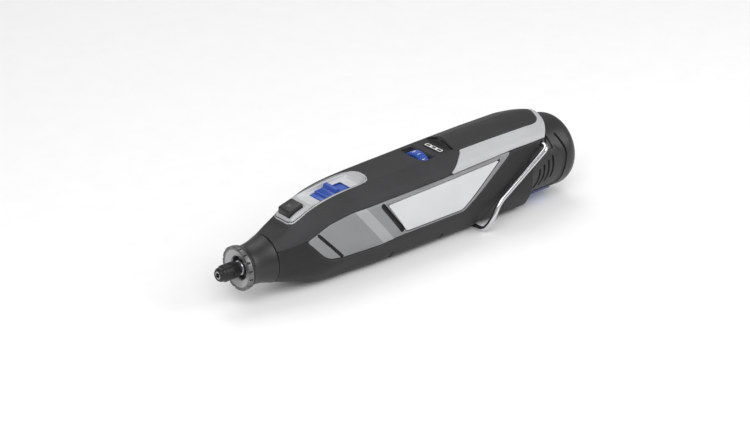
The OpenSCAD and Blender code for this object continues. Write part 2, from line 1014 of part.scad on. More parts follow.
function rounded_end(x1, r, round, steps) =
  [for (k = [0:steps])
    let (a = 90 * k / steps)
    [r - round + round * cos(a), x1 - round + round * sin(a)]];

module battery_case() {
  place()
    color([0.15, 0.15, 0.16])
      difference() {
        union() {
          translate([0, 0, socket_z])
            rod(socket_x0 + 0.8, 221, stick_r);
          difference() {
            translate([0, 0, socket_z])
              rod(205, cap_split - 0.1, battery_r);
            rim_region(0.4);
          }
        }
        translate([0, 0, socket_z])
          rod(179.6, overall_l, cell_room_r);
        // Release button window and contact slots
        block([220.7, -11.3, -30], [235.3, 11.3, -10]);
        for (y = contact_places)
          block([170, y - 1.2, -2], [180, y + 1.2, 10]);
      }
}

module battery_cap() {
  place()
    color([0.15, 0.15, 0.16])
      translate([0, 0, socket_z])
        difference() {
          turned(concat([[0, cap_split + 0.1], [battery_r, cap_split + 0.1]],
            rounded_end(overall_l, battery_r, battery_round, 8), [[0, overall_l]]));
          rod(cap_split - 1, 246.3, cell_room_r);
        }
}

module battery_cells() {
  place()
    color([0.2, 0.5, 0.65])
      for (k = [0:2])
        translate([0, 0, socket_z])
          rotate([120 * k, 0, 0])
            translate([0, 0, cell_ring])
              rod(180.8, 180.8 + cell_l, cell_d / 2);
}

module battery_contacts() {
  place()
    color("gold")
      for (y = contact_places)
        block([178, y - 1, -1.5], [180.4, y + 1, 9.5]);
}

module battery_release() {
  place()
    color([0.16, 0.3, 0.66])
      union() {
        intersection() {
          translate([0, 0, socket_z])
            tube(221, 235, battery_r + 0.7, battery_r - 1.9);
          block([221, -11, -30], [235, 11, -8]);
        }
        block([226, -2.5, -16.5], [230, 2.5, -12.6]);
        block([219.4, -7.6, -13.3], [236.6, 7.6, -12.4]);
      }
}

module release_spring() {
  place()
    color("silver")
      translate([228, 0, 0])
        spring(-12.3, -6.6, 1.6, 0.2, 5);
}

housing_left();
housing_right();
grip_left();
grip_right();
upper_grip();
side_cover_left();
side_cover_right();
badge_left();
badge_right();
top_panel();
rear_band();
top_inlay();
housing_screws();
nose_collar();
nose_cap();
nose_ring();
collet_nut();
collet();
spindle();
coupling();
fan();
bearing_outer_races();
bearing_inner_races();
bearing_balls();
motor_can();
motor_bushings();
motor_magnets();
motor_shaft();
armature();
armature_windings();
commutator();
motor_end_cap();
brushes();
brush_springs();
lock_button();
lock_pin();
lock_spring();
slide_switch();
switch_module();
speed_dial();
speed_control();
circuit_board();
gauge_leds();
gauge_window();
gauge_frame();
contact_block();
tool_contacts();
hanger_bail();
battery_case();
battery_cap();
battery_cells();
battery_contacts();
battery_release();
release_spring();
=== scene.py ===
"""Looks of the cordless rotary hobby tool: smooth skins, grooves, small parts, materials, light, camera.

Shapes are worked out in the tool's own millimetres: x counts back from the collet nut's tip, y is
across, and z is measured from the spindle axis. to_row() takes them into the row frame in metres.
"""

import json
import math

import bmesh
import bpy
import numpy as np
from mathutils import Matrix, Vector


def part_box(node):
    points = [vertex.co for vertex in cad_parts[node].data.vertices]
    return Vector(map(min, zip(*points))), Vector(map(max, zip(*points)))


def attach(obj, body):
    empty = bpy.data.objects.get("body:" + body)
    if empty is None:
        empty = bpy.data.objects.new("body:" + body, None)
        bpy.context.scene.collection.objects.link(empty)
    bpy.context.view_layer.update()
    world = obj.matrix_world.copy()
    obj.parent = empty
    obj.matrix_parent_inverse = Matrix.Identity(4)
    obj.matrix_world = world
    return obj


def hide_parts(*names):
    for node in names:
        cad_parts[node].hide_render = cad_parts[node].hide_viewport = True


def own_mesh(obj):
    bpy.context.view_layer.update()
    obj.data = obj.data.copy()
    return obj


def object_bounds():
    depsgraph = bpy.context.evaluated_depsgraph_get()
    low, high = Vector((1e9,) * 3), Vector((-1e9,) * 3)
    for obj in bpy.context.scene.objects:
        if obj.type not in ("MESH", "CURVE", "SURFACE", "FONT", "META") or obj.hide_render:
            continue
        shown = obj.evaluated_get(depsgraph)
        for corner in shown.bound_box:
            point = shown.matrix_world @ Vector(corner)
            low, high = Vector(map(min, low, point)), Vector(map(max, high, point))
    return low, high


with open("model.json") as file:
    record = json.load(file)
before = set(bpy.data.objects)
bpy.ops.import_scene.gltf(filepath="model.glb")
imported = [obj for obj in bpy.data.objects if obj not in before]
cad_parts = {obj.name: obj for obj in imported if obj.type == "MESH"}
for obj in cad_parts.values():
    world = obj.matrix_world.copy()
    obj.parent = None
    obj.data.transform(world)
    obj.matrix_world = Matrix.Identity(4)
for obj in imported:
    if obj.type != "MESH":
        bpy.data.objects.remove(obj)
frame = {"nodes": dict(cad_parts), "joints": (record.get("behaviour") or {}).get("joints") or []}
cad_lo, cad_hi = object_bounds()
joints = {j["name"]: j for j in frame["joints"]}

MM = 0.001
OVERALL = (cad_hi.x - cad_lo.x) / MM
TIP = np.array([cad_lo.x, 0.0, joints["spindle_spin"]["pos_m"][2]])


def to_row(points):
    """Tool millimetres to the row frame."""
    return np.asarray(points, float) * MM + TIP


def tool_box(node):
    """A CAD node's lowest and highest corner in tool millimetres."""
    lo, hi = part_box(node)
    return (np.array(lo) - TIP) / MM, (np.array(hi) - TIP) / MM


# ---- materials

PATCH_SCALE = 55.0
# The colour sockets of the Mix node, which share their names with its other sockets
MIX_A, MIX_B, MIX_RESULT = 6, 7, 2


def add_node(tree, kind, inputs):
    """Adds a shader node; inputs gives each socket a value or another node's output."""
    n = tree.nodes.new("ShaderNode" + kind)
    if kind == "Mix":
        n.data_type = "RGBA"
    if kind == "Math":
        n.operation = "MULTIPLY"
    for socket, value in inputs.items():
        if isinstance(value, bpy.types.NodeSocket):
            tree.links.new(value, n.inputs[socket])
        else:
            n.inputs[socket].default_value = value
    return n


def noise(tree, vector, scale, detail, roughness=0.55):
    inputs = {"Vector": vector, "Scale": scale, "Detail": detail, "Roughness": roughness}
    return add_node(tree, "TexNoise", inputs).outputs["Fac"]


def remap(tree, value, low, high, to_low, to_high):
    inputs = {"Value": value, "From Min": low, "From Max": high, "To Min": to_low, "To Max": to_high}
    return add_node(tree, "MapRange", inputs).outputs["Result"]


def mix_colour(tree, factor, a, b):
    """Mix of two colours, each an (r, g, b) or another node's output."""
    a, b = (c if isinstance(c, bpy.types.NodeSocket) else (*c, 1.0) for c in (a, b))
    return add_node(tree, "Mix", {"Factor": factor, MIX_A: a, MIX_B: b}).outputs[MIX_RESULT]


def finish(
    name, colour, rough, grain_mm=0.35, bump=0.25, bump_mm=0.05, tint=0.12, wear_and_highlight=0.0, metallic=0.0,
    stretch=(1, 1, 1), rough_spread=0.08, specular=0.5, coat=0.0, speck=0.0,
):
    """Material with grain in the bump, patches in the colour and roughness, and paler edges: partly wear,
    partly a painted highlight.
    """
    m = bpy.data.materials.new(name)
    m.use_nodes = True
    tree = m.node_tree
    shader = next(n for n in tree.nodes if n.type == "BSDF_PRINCIPLED")
    coords = tree.nodes.new("ShaderNodeTexCoord").outputs["Object"]
    stretched = add_node(tree, "Mapping", {"Vector": coords, "Scale": stretch}).outputs["Vector"]
    fine = noise(tree, stretched, 1 / (grain_mm * MM), 2.0, 0.6)
    broad = noise(tree, coords, PATCH_SCALE, 4.0)
    dark = tuple(c * (1 - tint) for c in colour)
    pale = tuple(min(1.0, c * (1 + tint)) for c in colour)
    base = mix_colour(tree, remap(tree, broad, 0.3, 0.7, 0.0, 1.0), dark, pale)
    if speck:
        grains = remap(tree, fine, 0.5, 0.72, 0.0, speck)
        base = mix_colour(tree, grains, base, tuple(min(1.0, c * 2.2 + 0.01) for c in colour))
    # Paler edges: partly wear, partly a painted highlight where rolled edges catch light
    if wear_and_highlight:
        edge = tree.nodes.new("ShaderNodeAttribute")
        edge.attribute_name = "edge"
        patches = remap(tree, broad, 0.25, 0.7, 0.2 * wear_and_highlight, wear_and_highlight)
        worn_and_highlit = add_node(tree, "Math", {0: edge.outputs["Fac"], 1: patches}).outputs[0]
        base = mix_colour(tree, worn_and_highlit, base, tuple(min(1.0, c * 1.7 + 0.04) for c in colour))
    low, high = max(0.03, rough - rough_spread), min(1.0, rough + rough_spread)
    tree.links.new(base, shader.inputs["Base Color"])
    tree.links.new(remap(tree, fine, 0.25, 0.75, low, high), shader.inputs["Roughness"])
    shader.inputs["Metallic"].default_value = metallic
    shader.inputs["Specular IOR Level"].default_value = specular
    shader.inputs["Coat Weight"].default_value = coat
    if bump:
        relief = add_node(tree, "Bump", {"Strength": bump, "Distance": bump_mm * MM, "Height": fine})
        tree.links.new(relief.outputs["Normal"], shader.inputs["Normal"])
    return m


M = {
    "rubber": finish(
        "grip_rubber", (0.024, 0.024, 0.0255), 0.62, 0.45, 0.7, 0.09, 0.14, 0.5, specular=0.35, speck=0.3
    ),
    "boot": finish("boot_rubber", (0.014, 0.014, 0.0148), 0.5, 0.5, 0.35, 0.05, 0.14, 0.6, specular=0.3),
    # Paler grey for the strip along the boot's rim: a painted highlight of the rolled rim
    "edge": finish("boot_rim_painted_highlight", (0.14, 0.14, 0.142), 0.45, 0.4, 0.3, 0.03, 0.1),
    "inlay": finish(
        "inlay_black", (0.021, 0.021, 0.022), 0.52, 0.4, 0.6, 0.08, 0.12, 0.4, specular=0.4, speck=0.2
    ),
    "cover": finish("cover_grey", (0.2, 0.204, 0.208), 0.46, 0.3, 0.4, 0.04, 0.05, 0.5),
    # Lighter copy of the cover grey for the slanted band: painted light on the face turned to the key light
    "facet_painted_light": finish("cover_facet_painted_light", (0.31, 0.314, 0.318), 0.44, 0.3, 0.4, 0.04, 0.05, 0.5),
    "panel": finish("panel_grey", (0.38, 0.385, 0.39), 0.4, 0.3, 0.35, 0.035, 0.04, 0.4),
    "bed": finish("panel_bed", (0.5, 0.505, 0.51), 0.38, 0.3, 0.3, 0.03, 0.04, 0.3),
    "light": finish("light_grey", (0.4, 0.405, 0.41), 0.42, 0.3, 0.35, 0.035, 0.04, 0.4),
    "badge": finish(
        "badge_silver", (0.56, 0.565, 0.57), 0.34, 0.25, 0.12, 0.02, 0.03, 0.3, metallic=0.25, coat=0.15
    ),
    "black": finish("satin_black", (0.012, 0.012, 0.0125), 0.42, 0.3, 0.3, 0.03, 0.15, 0.5),
    # Near black in the bottoms of slots, grooves, vents and notches: painted shade of the recesses
    "well": finish("painted_recess_shade", (0.006, 0.006, 0.006), 0.7, 0.4, 0.3, 0.03, 0.2),
    "blue": finish("switch_blue", (0.022, 0.075, 0.37), 0.36, 0.3, 0.3, 0.03, 0.08, 0.45, coat=0.1),
    "housing": finish("housing_nylon", (0.035, 0.035, 0.037), 0.55, 0.4, 0.4, 0.05, 0.15),
    "white": finish("mark_white", (0.75, 0.75, 0.74), 0.5, 0.2, 0.2, 0.02, 0.04),
    # Grey for the padlock mark, also painted shade in the groove inside the panel's outline
    "mark": finish("mark_grey_and_groove_shade", (0.07, 0.07, 0.072), 0.5, 0.2, 0.2, 0.02, 0.05),
    "window": finish("light_pipe", (0.02, 0.021, 0.021), 0.25, 0.3, 0.1, 0.02, 0.1, coat=0.5),
    "chrome": finish(
        "bail_nickel", (0.63, 0.63, 0.64), 0.13, 0.6, 0.08, 0.02, 0.05, metallic=1.0, rough_spread=0.06
    ),
    "ring": finish(
        "ring_steel", (0.4, 0.4, 0.405), 0.36, 0.5, 0.35, 0.02, 0.08, 0.3, metallic=1.0,
        stretch=(2.5, 0.5, 0.5), rough_spread=0.1,
    ),
    "ring_band": finish(
        "ring_band_steel", (0.17, 0.17, 0.172), 0.4, 0.5, 0.35, 0.02, 0.1, 0.9, metallic=1.0,
        stretch=(2.5, 0.5, 0.5), rough_spread=0.1,
    ),
    "steel": finish(
        "ground_steel", (0.55, 0.55, 0.56), 0.27, 0.5, 0.25, 0.02, 0.08, metallic=1.0, stretch=(3, 0.4, 0.4)
    ),
    "oxide": finish(
        "black_oxide", (0.012, 0.012, 0.013), 0.36, 0.4, 0.3, 0.02, 0.2, 0.5, metallic=0.1, specular=0.4,
        stretch=(3, 0.5, 0.5),
    ),
    "aluminium": finish(
        "turned_aluminium", (0.6, 0.6, 0.61), 0.3, 0.5, 0.25, 0.02, 0.06, metallic=1.0, stretch=(3, 0.4, 0.4)
    ),
    "zinc": finish("zinc_plate", (0.42, 0.43, 0.45), 0.38, 0.8, 0.2, 0.02, 0.15, metallic=1.0),
    "magnet": finish("ferrite", (0.035, 0.035, 0.04), 0.75, 0.25, 0.5, 0.05, 0.2),
    "copper": finish("copper", (0.72, 0.29, 0.14), 0.3, 0.35, 0.4, 0.05, 0.12, metallic=1.0),
    "brass": finish("brass", (0.72, 0.52, 0.22), 0.28, 0.4, 0.2, 0.02, 0.1, metallic=1.0),
    "carbon": finish("carbon", (0.015, 0.015, 0.016), 0.65, 0.2, 0.5, 0.04, 0.25),
    "board": finish("circuit_board", (0.015, 0.13, 0.05), 0.4, 0.6, 0.3, 0.03, 0.25, coat=0.3),
    "nylon": finish("fan_nylon", (0.7, 0.7, 0.66), 0.45, 0.4, 0.2, 0.03, 0.06),
    "orange": finish("coupling_orange", (0.65, 0.2, 0.03), 0.45, 0.4, 0.2, 0.03, 0.1),
    "wrap": finish("cell_wrap", (0.03, 0.2, 0.38), 0.25, 0.8, 0.1, 0.02, 0.1, coat=0.4),
}

# CAD nodes that keep their shape, by the look they get
INNER_LOOKS = {
    "housing": "housing_left housing_right",
    "steel": "housing_screws collet spindle bearing_outer_races bearing_inner_races motor_shaft "
             "lock_pin lock_spring release_spring",
    "aluminium": "nose_collar",
    "orange": "coupling",
    "nylon": "fan",
    "chrome": "bearing_balls",
    "zinc": "motor_can armature",
    "brass": "motor_bushings brush_springs tool_contacts battery_contacts",
    "magnet": "motor_magnets",
    "copper": "armature_windings commutator",
    "carbon": "brushes",
    "black": "motor_end_cap switch_module contact_block",
    "board": "speed_control circuit_board gauge_leds",
    "wrap": "battery_cells",
    "blue": "battery_release",
}
for look, nodes in INNER_LOOKS.items():
    for node in nodes.split():
        mesh = frame["nodes"][node].data
        mesh.materials.clear()
        mesh.materials.append(M[look])

# ---- mesh building


def add_piece(name, points, faces, looks, body, replaces=(), slot=None, index=None, edge=None, crease=32):
    """Makes a mesh from tool millimetres and lets it ride on a CAD body."""
    mesh = bpy.data.meshes.new(name)
    mesh.from_pydata(to_row(points).tolist(), [], [list(map(int, f)) for f in faces])
    for look in looks:
        mesh.materials.append(M[look])
    if index is not None:
        mesh.polygons.foreach_set("material_index", np.asarray(index, np.int32))
    # edge carries the share of the paler edge colour: partly wear, partly painted highlight
    if edge is not None:
        mesh.attributes.new("edge", "FLOAT", "POINT").data.foreach_set("value", np.asarray(edge, np.float32))
    mesh.polygons.foreach_set("use_smooth", np.ones(len(mesh.polygons), bool))
    mesh.update()
    mesh.set_sharp_from_angle(angle=math.radians(crease))
    obj = bpy.data.objects.new(name, mesh)
    bpy.context.scene.collection.objects.link(obj)
    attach(obj, body)
    if replaces:
        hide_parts(*replaces)
    return obj


def fillet(points, radius, steps=5, closed=True):
    """Polygon or line with every corner rounded."""
    p = np.asarray(points, float)
    out = []
    n = len(p)
    for i in range(n):
        if not closed and i in (0, n - 1):
            out.append(p[i])
            continue
        a, b, c = p[i - 1], p[i], p[(i + 1) % n]
        la, lc = np.linalg.norm(a - b), np.linalg.norm(c - b)
        reach = min(radius, 0.45 * la, 0.45 * lc)
        s, e = b + (a - b) / la * reach, b + (c - b) / lc * reach
        for t in np.linspace(0, 1, steps):
            out.append(s * (1 - t) ** 2 + 2 * b * t * (1 - t) + e * t * t)
    return np.array(out)


def rect(u0, u1, v0, v1):
    return [[u0, v0], [u1, v0], [u1, v1], [u0, v1]]


def outward(points, faces):
    """The same faces, turned so that the closed solid has a positive volume."""
    p = np.asarray(points)
    volume = 0.0
    for f in faces:
        for k in range(1, len(f) - 1):
            volume += float(np.dot(p[f[0]], np.cross(p[f[k]], p[f[k + 1]])))
    return faces if volume > 0 else [tuple(reversed(f)) for f in faces]


def loft(sections, closed):
    """Solid through sections of equal count, with flat ends unless it closes on itself."""
    s = np.asarray(sections, float)
    n, m = s.shape[:2]
    faces = []
    for i in range(n if closed else n - 1):
        j = (i + 1) % n
        faces += [(i * m + q, i * m + (q + 1) % m, j * m + (q + 1) % m, j * m + q) for q in range(m)]
    if not closed:
        faces += [tuple(range(m - 1, -1, -1)), tuple(range((n - 1) * m, n * m))]
    points = s.reshape(-1, 3)
    return points, outward(points, faces)


def lathe(profile, segments, centre_z=0.0, ripple=None):
    """Closed profile of (x, r) turned about the X axis; ripple(angle, x, r) gives a new (x, r)."""
    prof = np.asarray(profile, float)
    angle = np.arange(segments) * 2 * math.pi / segments
    a, k = np.meshgrid(angle, np.arange(len(prof)), indexing="ij")
    x, r = prof[k, 0], prof[k, 1]
    if ripple is not None:
        x, r = ripple(a, x, r)
    return loft(np.stack([x, r * np.sin(a), r * np.cos(a) + centre_z], -1), closed=True)


def prism(outline, axis, low, high):
    """Outline of (u, v) pushed from low to high along axis; the other two axes keep their order."""
    return loft([np.insert(outline, axis, level, axis=1) for level in (low, high)], closed=False)


def bevelled(points, faces, width, segments=3, angle=25):
    """Rounds the sharp edges of a solid given in tool millimetres."""
    bm = bmesh.new()
    verts = [bm.verts.new(p) for p in np.asarray(points).tolist()]
    for f in faces:
        bm.faces.new([verts[k] for k in f])
    bm.normal_update()
    sharp = [e for e in bm.edges if len(e.link_faces) == 2 and e.calc_face_angle() > math.radians(angle)]
    bmesh.ops.bevel(
        bm, geom=sharp, offset=width, segments=segments, profile=0.5, affect="EDGES", clamp_overlap=True
    )
    bmesh.ops.remove_doubles(bm, verts=bm.verts, dist=1e-5)
    bm.verts.index_update()
    out_p = np.array([v.co[:] for v in bm.verts])
    out_f = [tuple(v.index for v in f.verts) for f in bm.faces]
    bm.free()
    return out_p, out_f


def sweep(path, radius, sides=20):
    """Round wire along a path, with a frame that doesn't twist; radius may be one per point."""
    p = np.asarray(path, float)
    radii = np.broadcast_to(np.asarray(radius, float), (len(p),))
    tangent = np.gradient(p, axis=0)
    tangent /= np.linalg.norm(tangent, axis=1)[:, None]
    side = np.cross(tangent[0], [0.3, 0.1, 1.0])
    t = np.arange(sides)[:, None] * 2 * math.pi / sides
    rings = []
    for centre, along, r in zip(p, tangent, radii):
        side = side - along * np.dot(side, along)
        side /= np.linalg.norm(side)
        rings.append(centre + r * (np.cos(t) * side + np.sin(t) * np.cross(along, side)))
    return loft(rings, closed=False)


def joined(*solids):
    """Several (points, faces) as one."""
    points, faces, start = [], [], 0
    for p, f in solids:
        points.append(np.asarray(p))
        faces += [tuple(v + start for v in q) for q in f]
        start += len(p)
    return np.concatenate(points), faces


# ---- housing surface

# Half widths and heights of the section's corners at stations along the tool:
# x, deck, top ridge, upper side edge, widest line, lower side edge, base
STATIONS = np.array([
    [31.6, 3.4, 13.6, 8.0, 11.4, 11.9, 7.2, 13.9, 0.0, 11.2, -8.3, 5.2, -13.0],
    [42.4, 5.4, 18.2, 8.6, 17.1, 14.3, 11.3, 16.3, 1.0, 13.9, -9.5, 8.0, -15.7],
    [45.6, 5.6, 22.6, 8.8, 18.8, 14.9, 12.2, 16.9, 1.2, 14.6, -9.7, 8.4, -16.8],
    [57.0, 5.8, 26.0, 9.4, 24.3, 17.2, 15.5, 19.2, 2.0, 17.0, -10.5, 9.5, -20.2],
    [67.0, 5.9, 25.9, 9.8, 27.6, 18.6, 18.4, 20.6, 2.5, 18.8, -8.8, 10.0, -21.6],
    [78.0, 5.9, 26.5, 10.1, 29.3, 19.3, 20.4, 21.5, 2.5, 20.0, -7.0, 10.5, -22.2],
    [91.0, 6.0, 27.2, 10.4, 30.1, 20.0, 22.0, 22.3, 2.5, 21.0, -6.0, 11.5, -22.5],
    [100.4, 5.5, 29.9, 10.5, 30.4, 20.2, 22.6, 22.8, 2.5, 21.4, -6.0, 12.0, -22.5],
    [120.0, 5.5, 29.8, 11.0, 30.8, 20.4, 23.3, 23.4, 2.5, 21.8, -6.0, 12.6, -22.5],
    [155.0, 6.0, 30.4, 12.6, 31.0, 20.8, 23.8, 23.7, 2.5, 22.0, -6.3, 13.0, -22.5],
    [158.0, 2.2, 35.0, 12.7, 31.0, 20.8, 23.8, 23.8, 2.5, 22.0, -6.4, 13.0, -22.5],
    [185.0, 2.2, 35.3, 13.3, 31.2, 21.0, 24.2, 23.8, 2.5, 22.0, -8.0, 13.0, -22.5],
    [208.0, 2.2, 35.4, 13.3, 31.3, 21.0, 24.4, 23.8, 2.5, 22.0, -9.0, 13.0, -22.5],
    [222.0, 2.2, 34.0, 12.8, 30.2, 20.6, 23.8, 23.4, 2.5, 21.5, -10.0, 12.0, -20.5],
    [235.0, 2.2, 30.6, 11.5, 28.0, 19.6, 22.4, 22.6, 2.5, 20.5, -10.0, 11.0, -18.0],
])
# Share of the neighbouring edges that each corner's rounding takes, from the deck to the base
ROUNDING = [0.30, 0.22, 0.30, 0.40, 0.40, 0.35]
ARC_STEPS = 7
GRID_STEP = 0.8
SKIN = 1.6
SOCKET_Z = 4.3
SOCKET_R = 21.0
SOCKET_X, SOCKET_FADE = 200, 12


def smooth_rows(x):
    """Section rows at the places x, by a monotone cubic through the stations."""
    xs, ys = STATIONS[:, 0], STATIONS[:, 1:]
    h = np.diff(xs)[:, None]
    d = np.diff(ys, axis=0) / h
    slope = np.zeros_like(ys)
    slope[0], slope[-1] = d[0], d[-1]
    # Weighted harmonic mean where the neighbouring slopes agree in sign, and flat elsewhere
    before, after = d[:-1], d[1:]
    w1, w2 = 2 * h[1:] + h[:-1], h[1:] + 2 * h[:-1]
    with np.errstate(divide="ignore", invalid="ignore"):
        mean = (w1 + w2) / (w1 / before + w2 / after)
    slope[1:-1] = np.where(before * after > 0, mean, 0.0)
    x = np.clip(x, xs[0], xs[-1])
    i = np.clip(np.searchsorted(xs, x, "right") - 1, 0, len(xs) - 2)
    t = ((x - xs[i]) / h[i, 0])[:, None]
    return (
        ys[i] * (1 + 2 * t) * (1 - t) ** 2
        + slope[i] * h[i] * t * (1 - t) ** 2
        + ys[i + 1] * t * t * (3 - 2 * t)
        - slope[i + 1] * h[i] * t * t * (1 - t)
    )


def grid_triangles(rows, columns):
    """Two triangles for each cell of a grid that closes on itself sideways."""
    index = np.arange(rows * columns).reshape(rows, columns)
    a, b = index[:-1], np.roll(index, -1, 1)[:-1]
    c, d = np.roll(index, -1, 1)[1:], index[1:]
    return np.concatenate([np.stack(corners, -1).reshape(-1, 3) for corners in ((a, b, c), (a, c, d))])


def housing_grid():
    """Points, normals and triangles of the whole outer surface."""
    x = np.arange(STATIONS[0, 0] - 0.8, 232.8, GRID_STEP)
    rows = smooth_rows(x)
    half = rows.reshape(len(x), 6, 2)
    other = half[:, ::-1].copy()
    other[:, :, 0] *= -1
    corner = np.concatenate([half, other], 1)
    share = np.array(ROUNDING + ROUNDING[::-1])
    n = corner.shape[1]
    columns = []
    for i in range(n):
        c, before, after = corner[:, i], corner[:, i - 1], corner[:, (i + 1) % n]
        start, end = c + share[i] * (before - c), c + share[i] * (after - c)
        for t in np.linspace(0, 1, ARC_STEPS):
            columns.append(start * (1 - t) ** 2 + 2 * c * t * (1 - t) + end * t * t)
        following = after + share[(i + 1) % n] * (c - after)
        length = np.linalg.norm(following - end, axis=1).max()
        steps = max(2, int(length / GRID_STEP))
        for t in np.linspace(0, 1, steps + 1)[1:-1]:
            columns.append(end + t * (following - end))
    ring = np.stack(columns, 1)
    p = np.concatenate([np.broadcast_to(x[:, None, None], (*ring.shape[:2], 1)), ring], 2)
    along = np.gradient(p, axis=0)
    around = np.roll(p, -1, 1) - np.roll(p, 1, 1)
    normal = np.cross(around, along)
    normal /= np.linalg.norm(normal, axis=2)[:, :, None]
    normal *= np.sign((normal[:, :, 1] * p[:, :, 1]).sum())
    tri = grid_triangles(*p.shape[:2])
    return np.concatenate([p, normal], 2).reshape(-1, 6), orient(tri, p.reshape(-1, 3), normal.reshape(-1, 3))


def orient(tri, p, normal):
    """Triangles turned to face the way their normals point."""
    face = np.cross(p[tri[:, 1]] - p[tri[:, 0]], p[tri[:, 2]] - p[tri[:, 0]])
    wrong = (face * normal[tri[:, 0]]).sum(1) < 0
    out = tri.copy()
    out[wrong] = out[wrong][:, ::-1]
    return out


SNAP = 0.05


def edges_of(tri):
    return np.concatenate([tri[:, [0, 1]], tri[:, [1, 2]], tri[:, [2, 0]]])


def cut(v, tri, value):
    """Splits triangles along value = 0. Returns vertices, triangles and the new values."""
    value = np.where(np.abs(value) < SNAP, 0.0, value)
    sign = np.sign(value)[tri]
    mixed = (sign.max(1) > 0) & (sign.min(1) < 0)
    whole, todo = tri[~mixed], tri[mixed]
    if not len(todo):
        return v, tri, value
    pairs = np.sort(edges_of(todo), 1)
    s = np.sign(value)
    crossing = s[pairs[:, 0]] * s[pairs[:, 1]] < 0
    key = pairs[:, 0].astype(np.int64) * len(v) + pairs[:, 1]
    unique, inverse = np.unique(key[crossing], return_inverse=True)
    a, b = unique // len(v), unique % len(v)
    t = (value[a] / (value[a] - value[b]))[:, None]
    fresh = v[a] * (1 - t) + v[b] * t
    fresh[:, 3:6] /= np.linalg.norm(fresh[:, 3:6], axis=1)[:, None]
    edge_point = np.full(len(key), -1)
    edge_point[crossing] = len(v) + inverse
    edge_point = edge_point.reshape(3, -1).T
    out = [whole]
    count = (edge_point >= 0).sum(1)
    one, two = count == 1, count == 2
    for shift in range(3):
        order = [(shift + k) % 3 for k in range(3)]
        t3, e3 = todo[:, order], edge_point[:, order]
        # Two crossings on the edges next to the first corner
        pick = two & (e3[:, 0] >= 0) & (e3[:, 2] >= 0)
        p, q, r = t3[pick].T
        m, k = e3[pick][:, 0], e3[pick][:, 2]
        out += [np.stack([p, m, k], 1), np.stack([m, q, r], 1), np.stack([m, r, k], 1)]
        # One crossing opposite a corner that lies on the line
        pick = one & (e3[:, 1] >= 0)
        p, q, r = t3[pick].T
        m = e3[pick][:, 1]
        out += [np.stack([p, q, m], 1), np.stack([p, m, r], 1)]
    return np.concatenate([v, fresh]), np.concatenate(out), np.concatenate([value, np.zeros(len(fresh))])


def clip(v, tri, value):
    """Keeps the side where value is positive."""
    v, tri, value = cut(v, tri, value)
    keep = value[tri].max(1) > 0
    return tidy(v, tri[keep])


def tidy(v, tri):
    used = np.unique(tri)
    back = np.full(len(v), -1)
    back[used] = np.arange(len(used))
    return v[used], back[tri]


def to_segments(q, starts, ends):
    """Distance of the points q to the nearest of some segments."""
    best = np.full(len(q), np.inf)
    for a, b in zip(starts, ends):
        e = b - a
        t = np.clip(((q - a) @ e) / (e @ e), 0, 1)
        best = np.minimum(best, ((q - a - t[:, None] * e) ** 2).sum(1))
    return np.sqrt(best)


def inside(q, outline):
    """Distance of the points q to a closed outline, positive inside."""
    ends = np.roll(outline, -1, 0)
    odd = np.zeros(len(q), bool)
    for a, b in zip(outline, ends):
        if a[1] != b[1]:
            spans = (a[1] > q[:, 1]) != (b[1] > q[:, 1])
            odd ^= spans & (q[:, 0] < (b[0] - a[0]) * (q[:, 1] - a[1]) / (b[1] - a[1]) + a[0])
    return np.where(odd, 1, -1) * to_segments(q, outline, ends)


def from_side(v, outline):
    """Distance to a side-view outline of (x, z), positive inside."""
    return inside(v[:, [0, 2]], outline)


def from_top(v, outline):
    """Distance to a top-view outline of (x, y), positive inside."""
    return on_top(v, inside(v[:, [0, 1]], outline))


def ramp(t):
    t = np.clip(t, 0, 1)
    return t * t * (3 - 2 * t)


HOUSING = housing_grid()
SKIN_CREASE = 38


def sunk(v, depth):
    """The surface's points moved inwards."""
    return v[:, :3] - v[:, 3:6] * depth


def skin_piece(
    name, region, looks, replaces, slot, details=(), relief=None, roll=0.5, inner=None,
    surface=HOUSING, body="housing",
):
    """One shell of the outer skin: the part of surface where region is positive, with rolled edges.

    details are (field, depth, width, look index): the surface drops by depth where field is positive,
    over width. relief gives one more height for every point.
    """
    v, tri = surface
    near = region(v)
    # The whole grid is thinned to the triangles near the region before any cutting
    keep = near[tri].max(1) > 0
    v, tri = tidy(v, tri[keep])
    v, tri = clip(v, tri, region(v))
    for share in (0.14, 0.45, 1.0):
        v, tri, _ = cut(v, tri, region(v) - roll * share)
    for field, _depth, width, _look in details:
        for level in (0.0, width):
            v, tri, _ = cut(v, tri, field(v) - level)
    distance = np.clip(region(v), 0, roll)
    height = -(roll - np.sqrt(np.maximum(roll**2 - (roll - distance) ** 2, 0)))
    for field, depth, width, _look in details:
        height = height - depth * ramp(field(v) / width)
    if relief is not None:
        height = height + relief(v)
    top = v[:, :3] + v[:, 3:6] * height[:, None]
    bottom = sunk(v, SKIN) if inner is None else inner(v)
    middle = v[tri].mean(1)
    look = np.zeros(len(tri), int)
    for field, _depth, _width, which in details:
        if which:
            look[field(middle) > 0] = which
    # Walls along the open edges
    edges = edges_of(tri)
    key = edges.min(1).astype(np.int64) * len(v) + edges.max(1)
    _, first, number = np.unique(key, return_index=True, return_counts=True)
    rim = edges[first[number == 1]]
    n = len(v)
    faces = tri.tolist() + (tri[:, ::-1] + n).tolist()
    faces += np.stack([rim[:, 1], rim[:, 0], rim[:, 0] + n, rim[:, 1] + n], 1).tolist()
    index = np.concatenate([look, np.zeros(len(tri) + len(rim), int)])
    # Share of the paler edge colour near the rolled edges: partly wear, partly painted highlight
    worn_and_highlit = np.clip(1 - region(v) / (roll * 1.6), 0, 1)
    return add_piece(
        name, np.concatenate([top, bottom]), faces, looks, body, replaces, slot, index,
        np.concatenate([worn_and_highlit, np.zeros(n)]), SKIN_CREASE,
    )


def on_top(v, value):
    """value where the surface is above the side covers, and far outside below."""
    return np.where(v[:, 2] > TOP_Z, value, FAR_OUT)


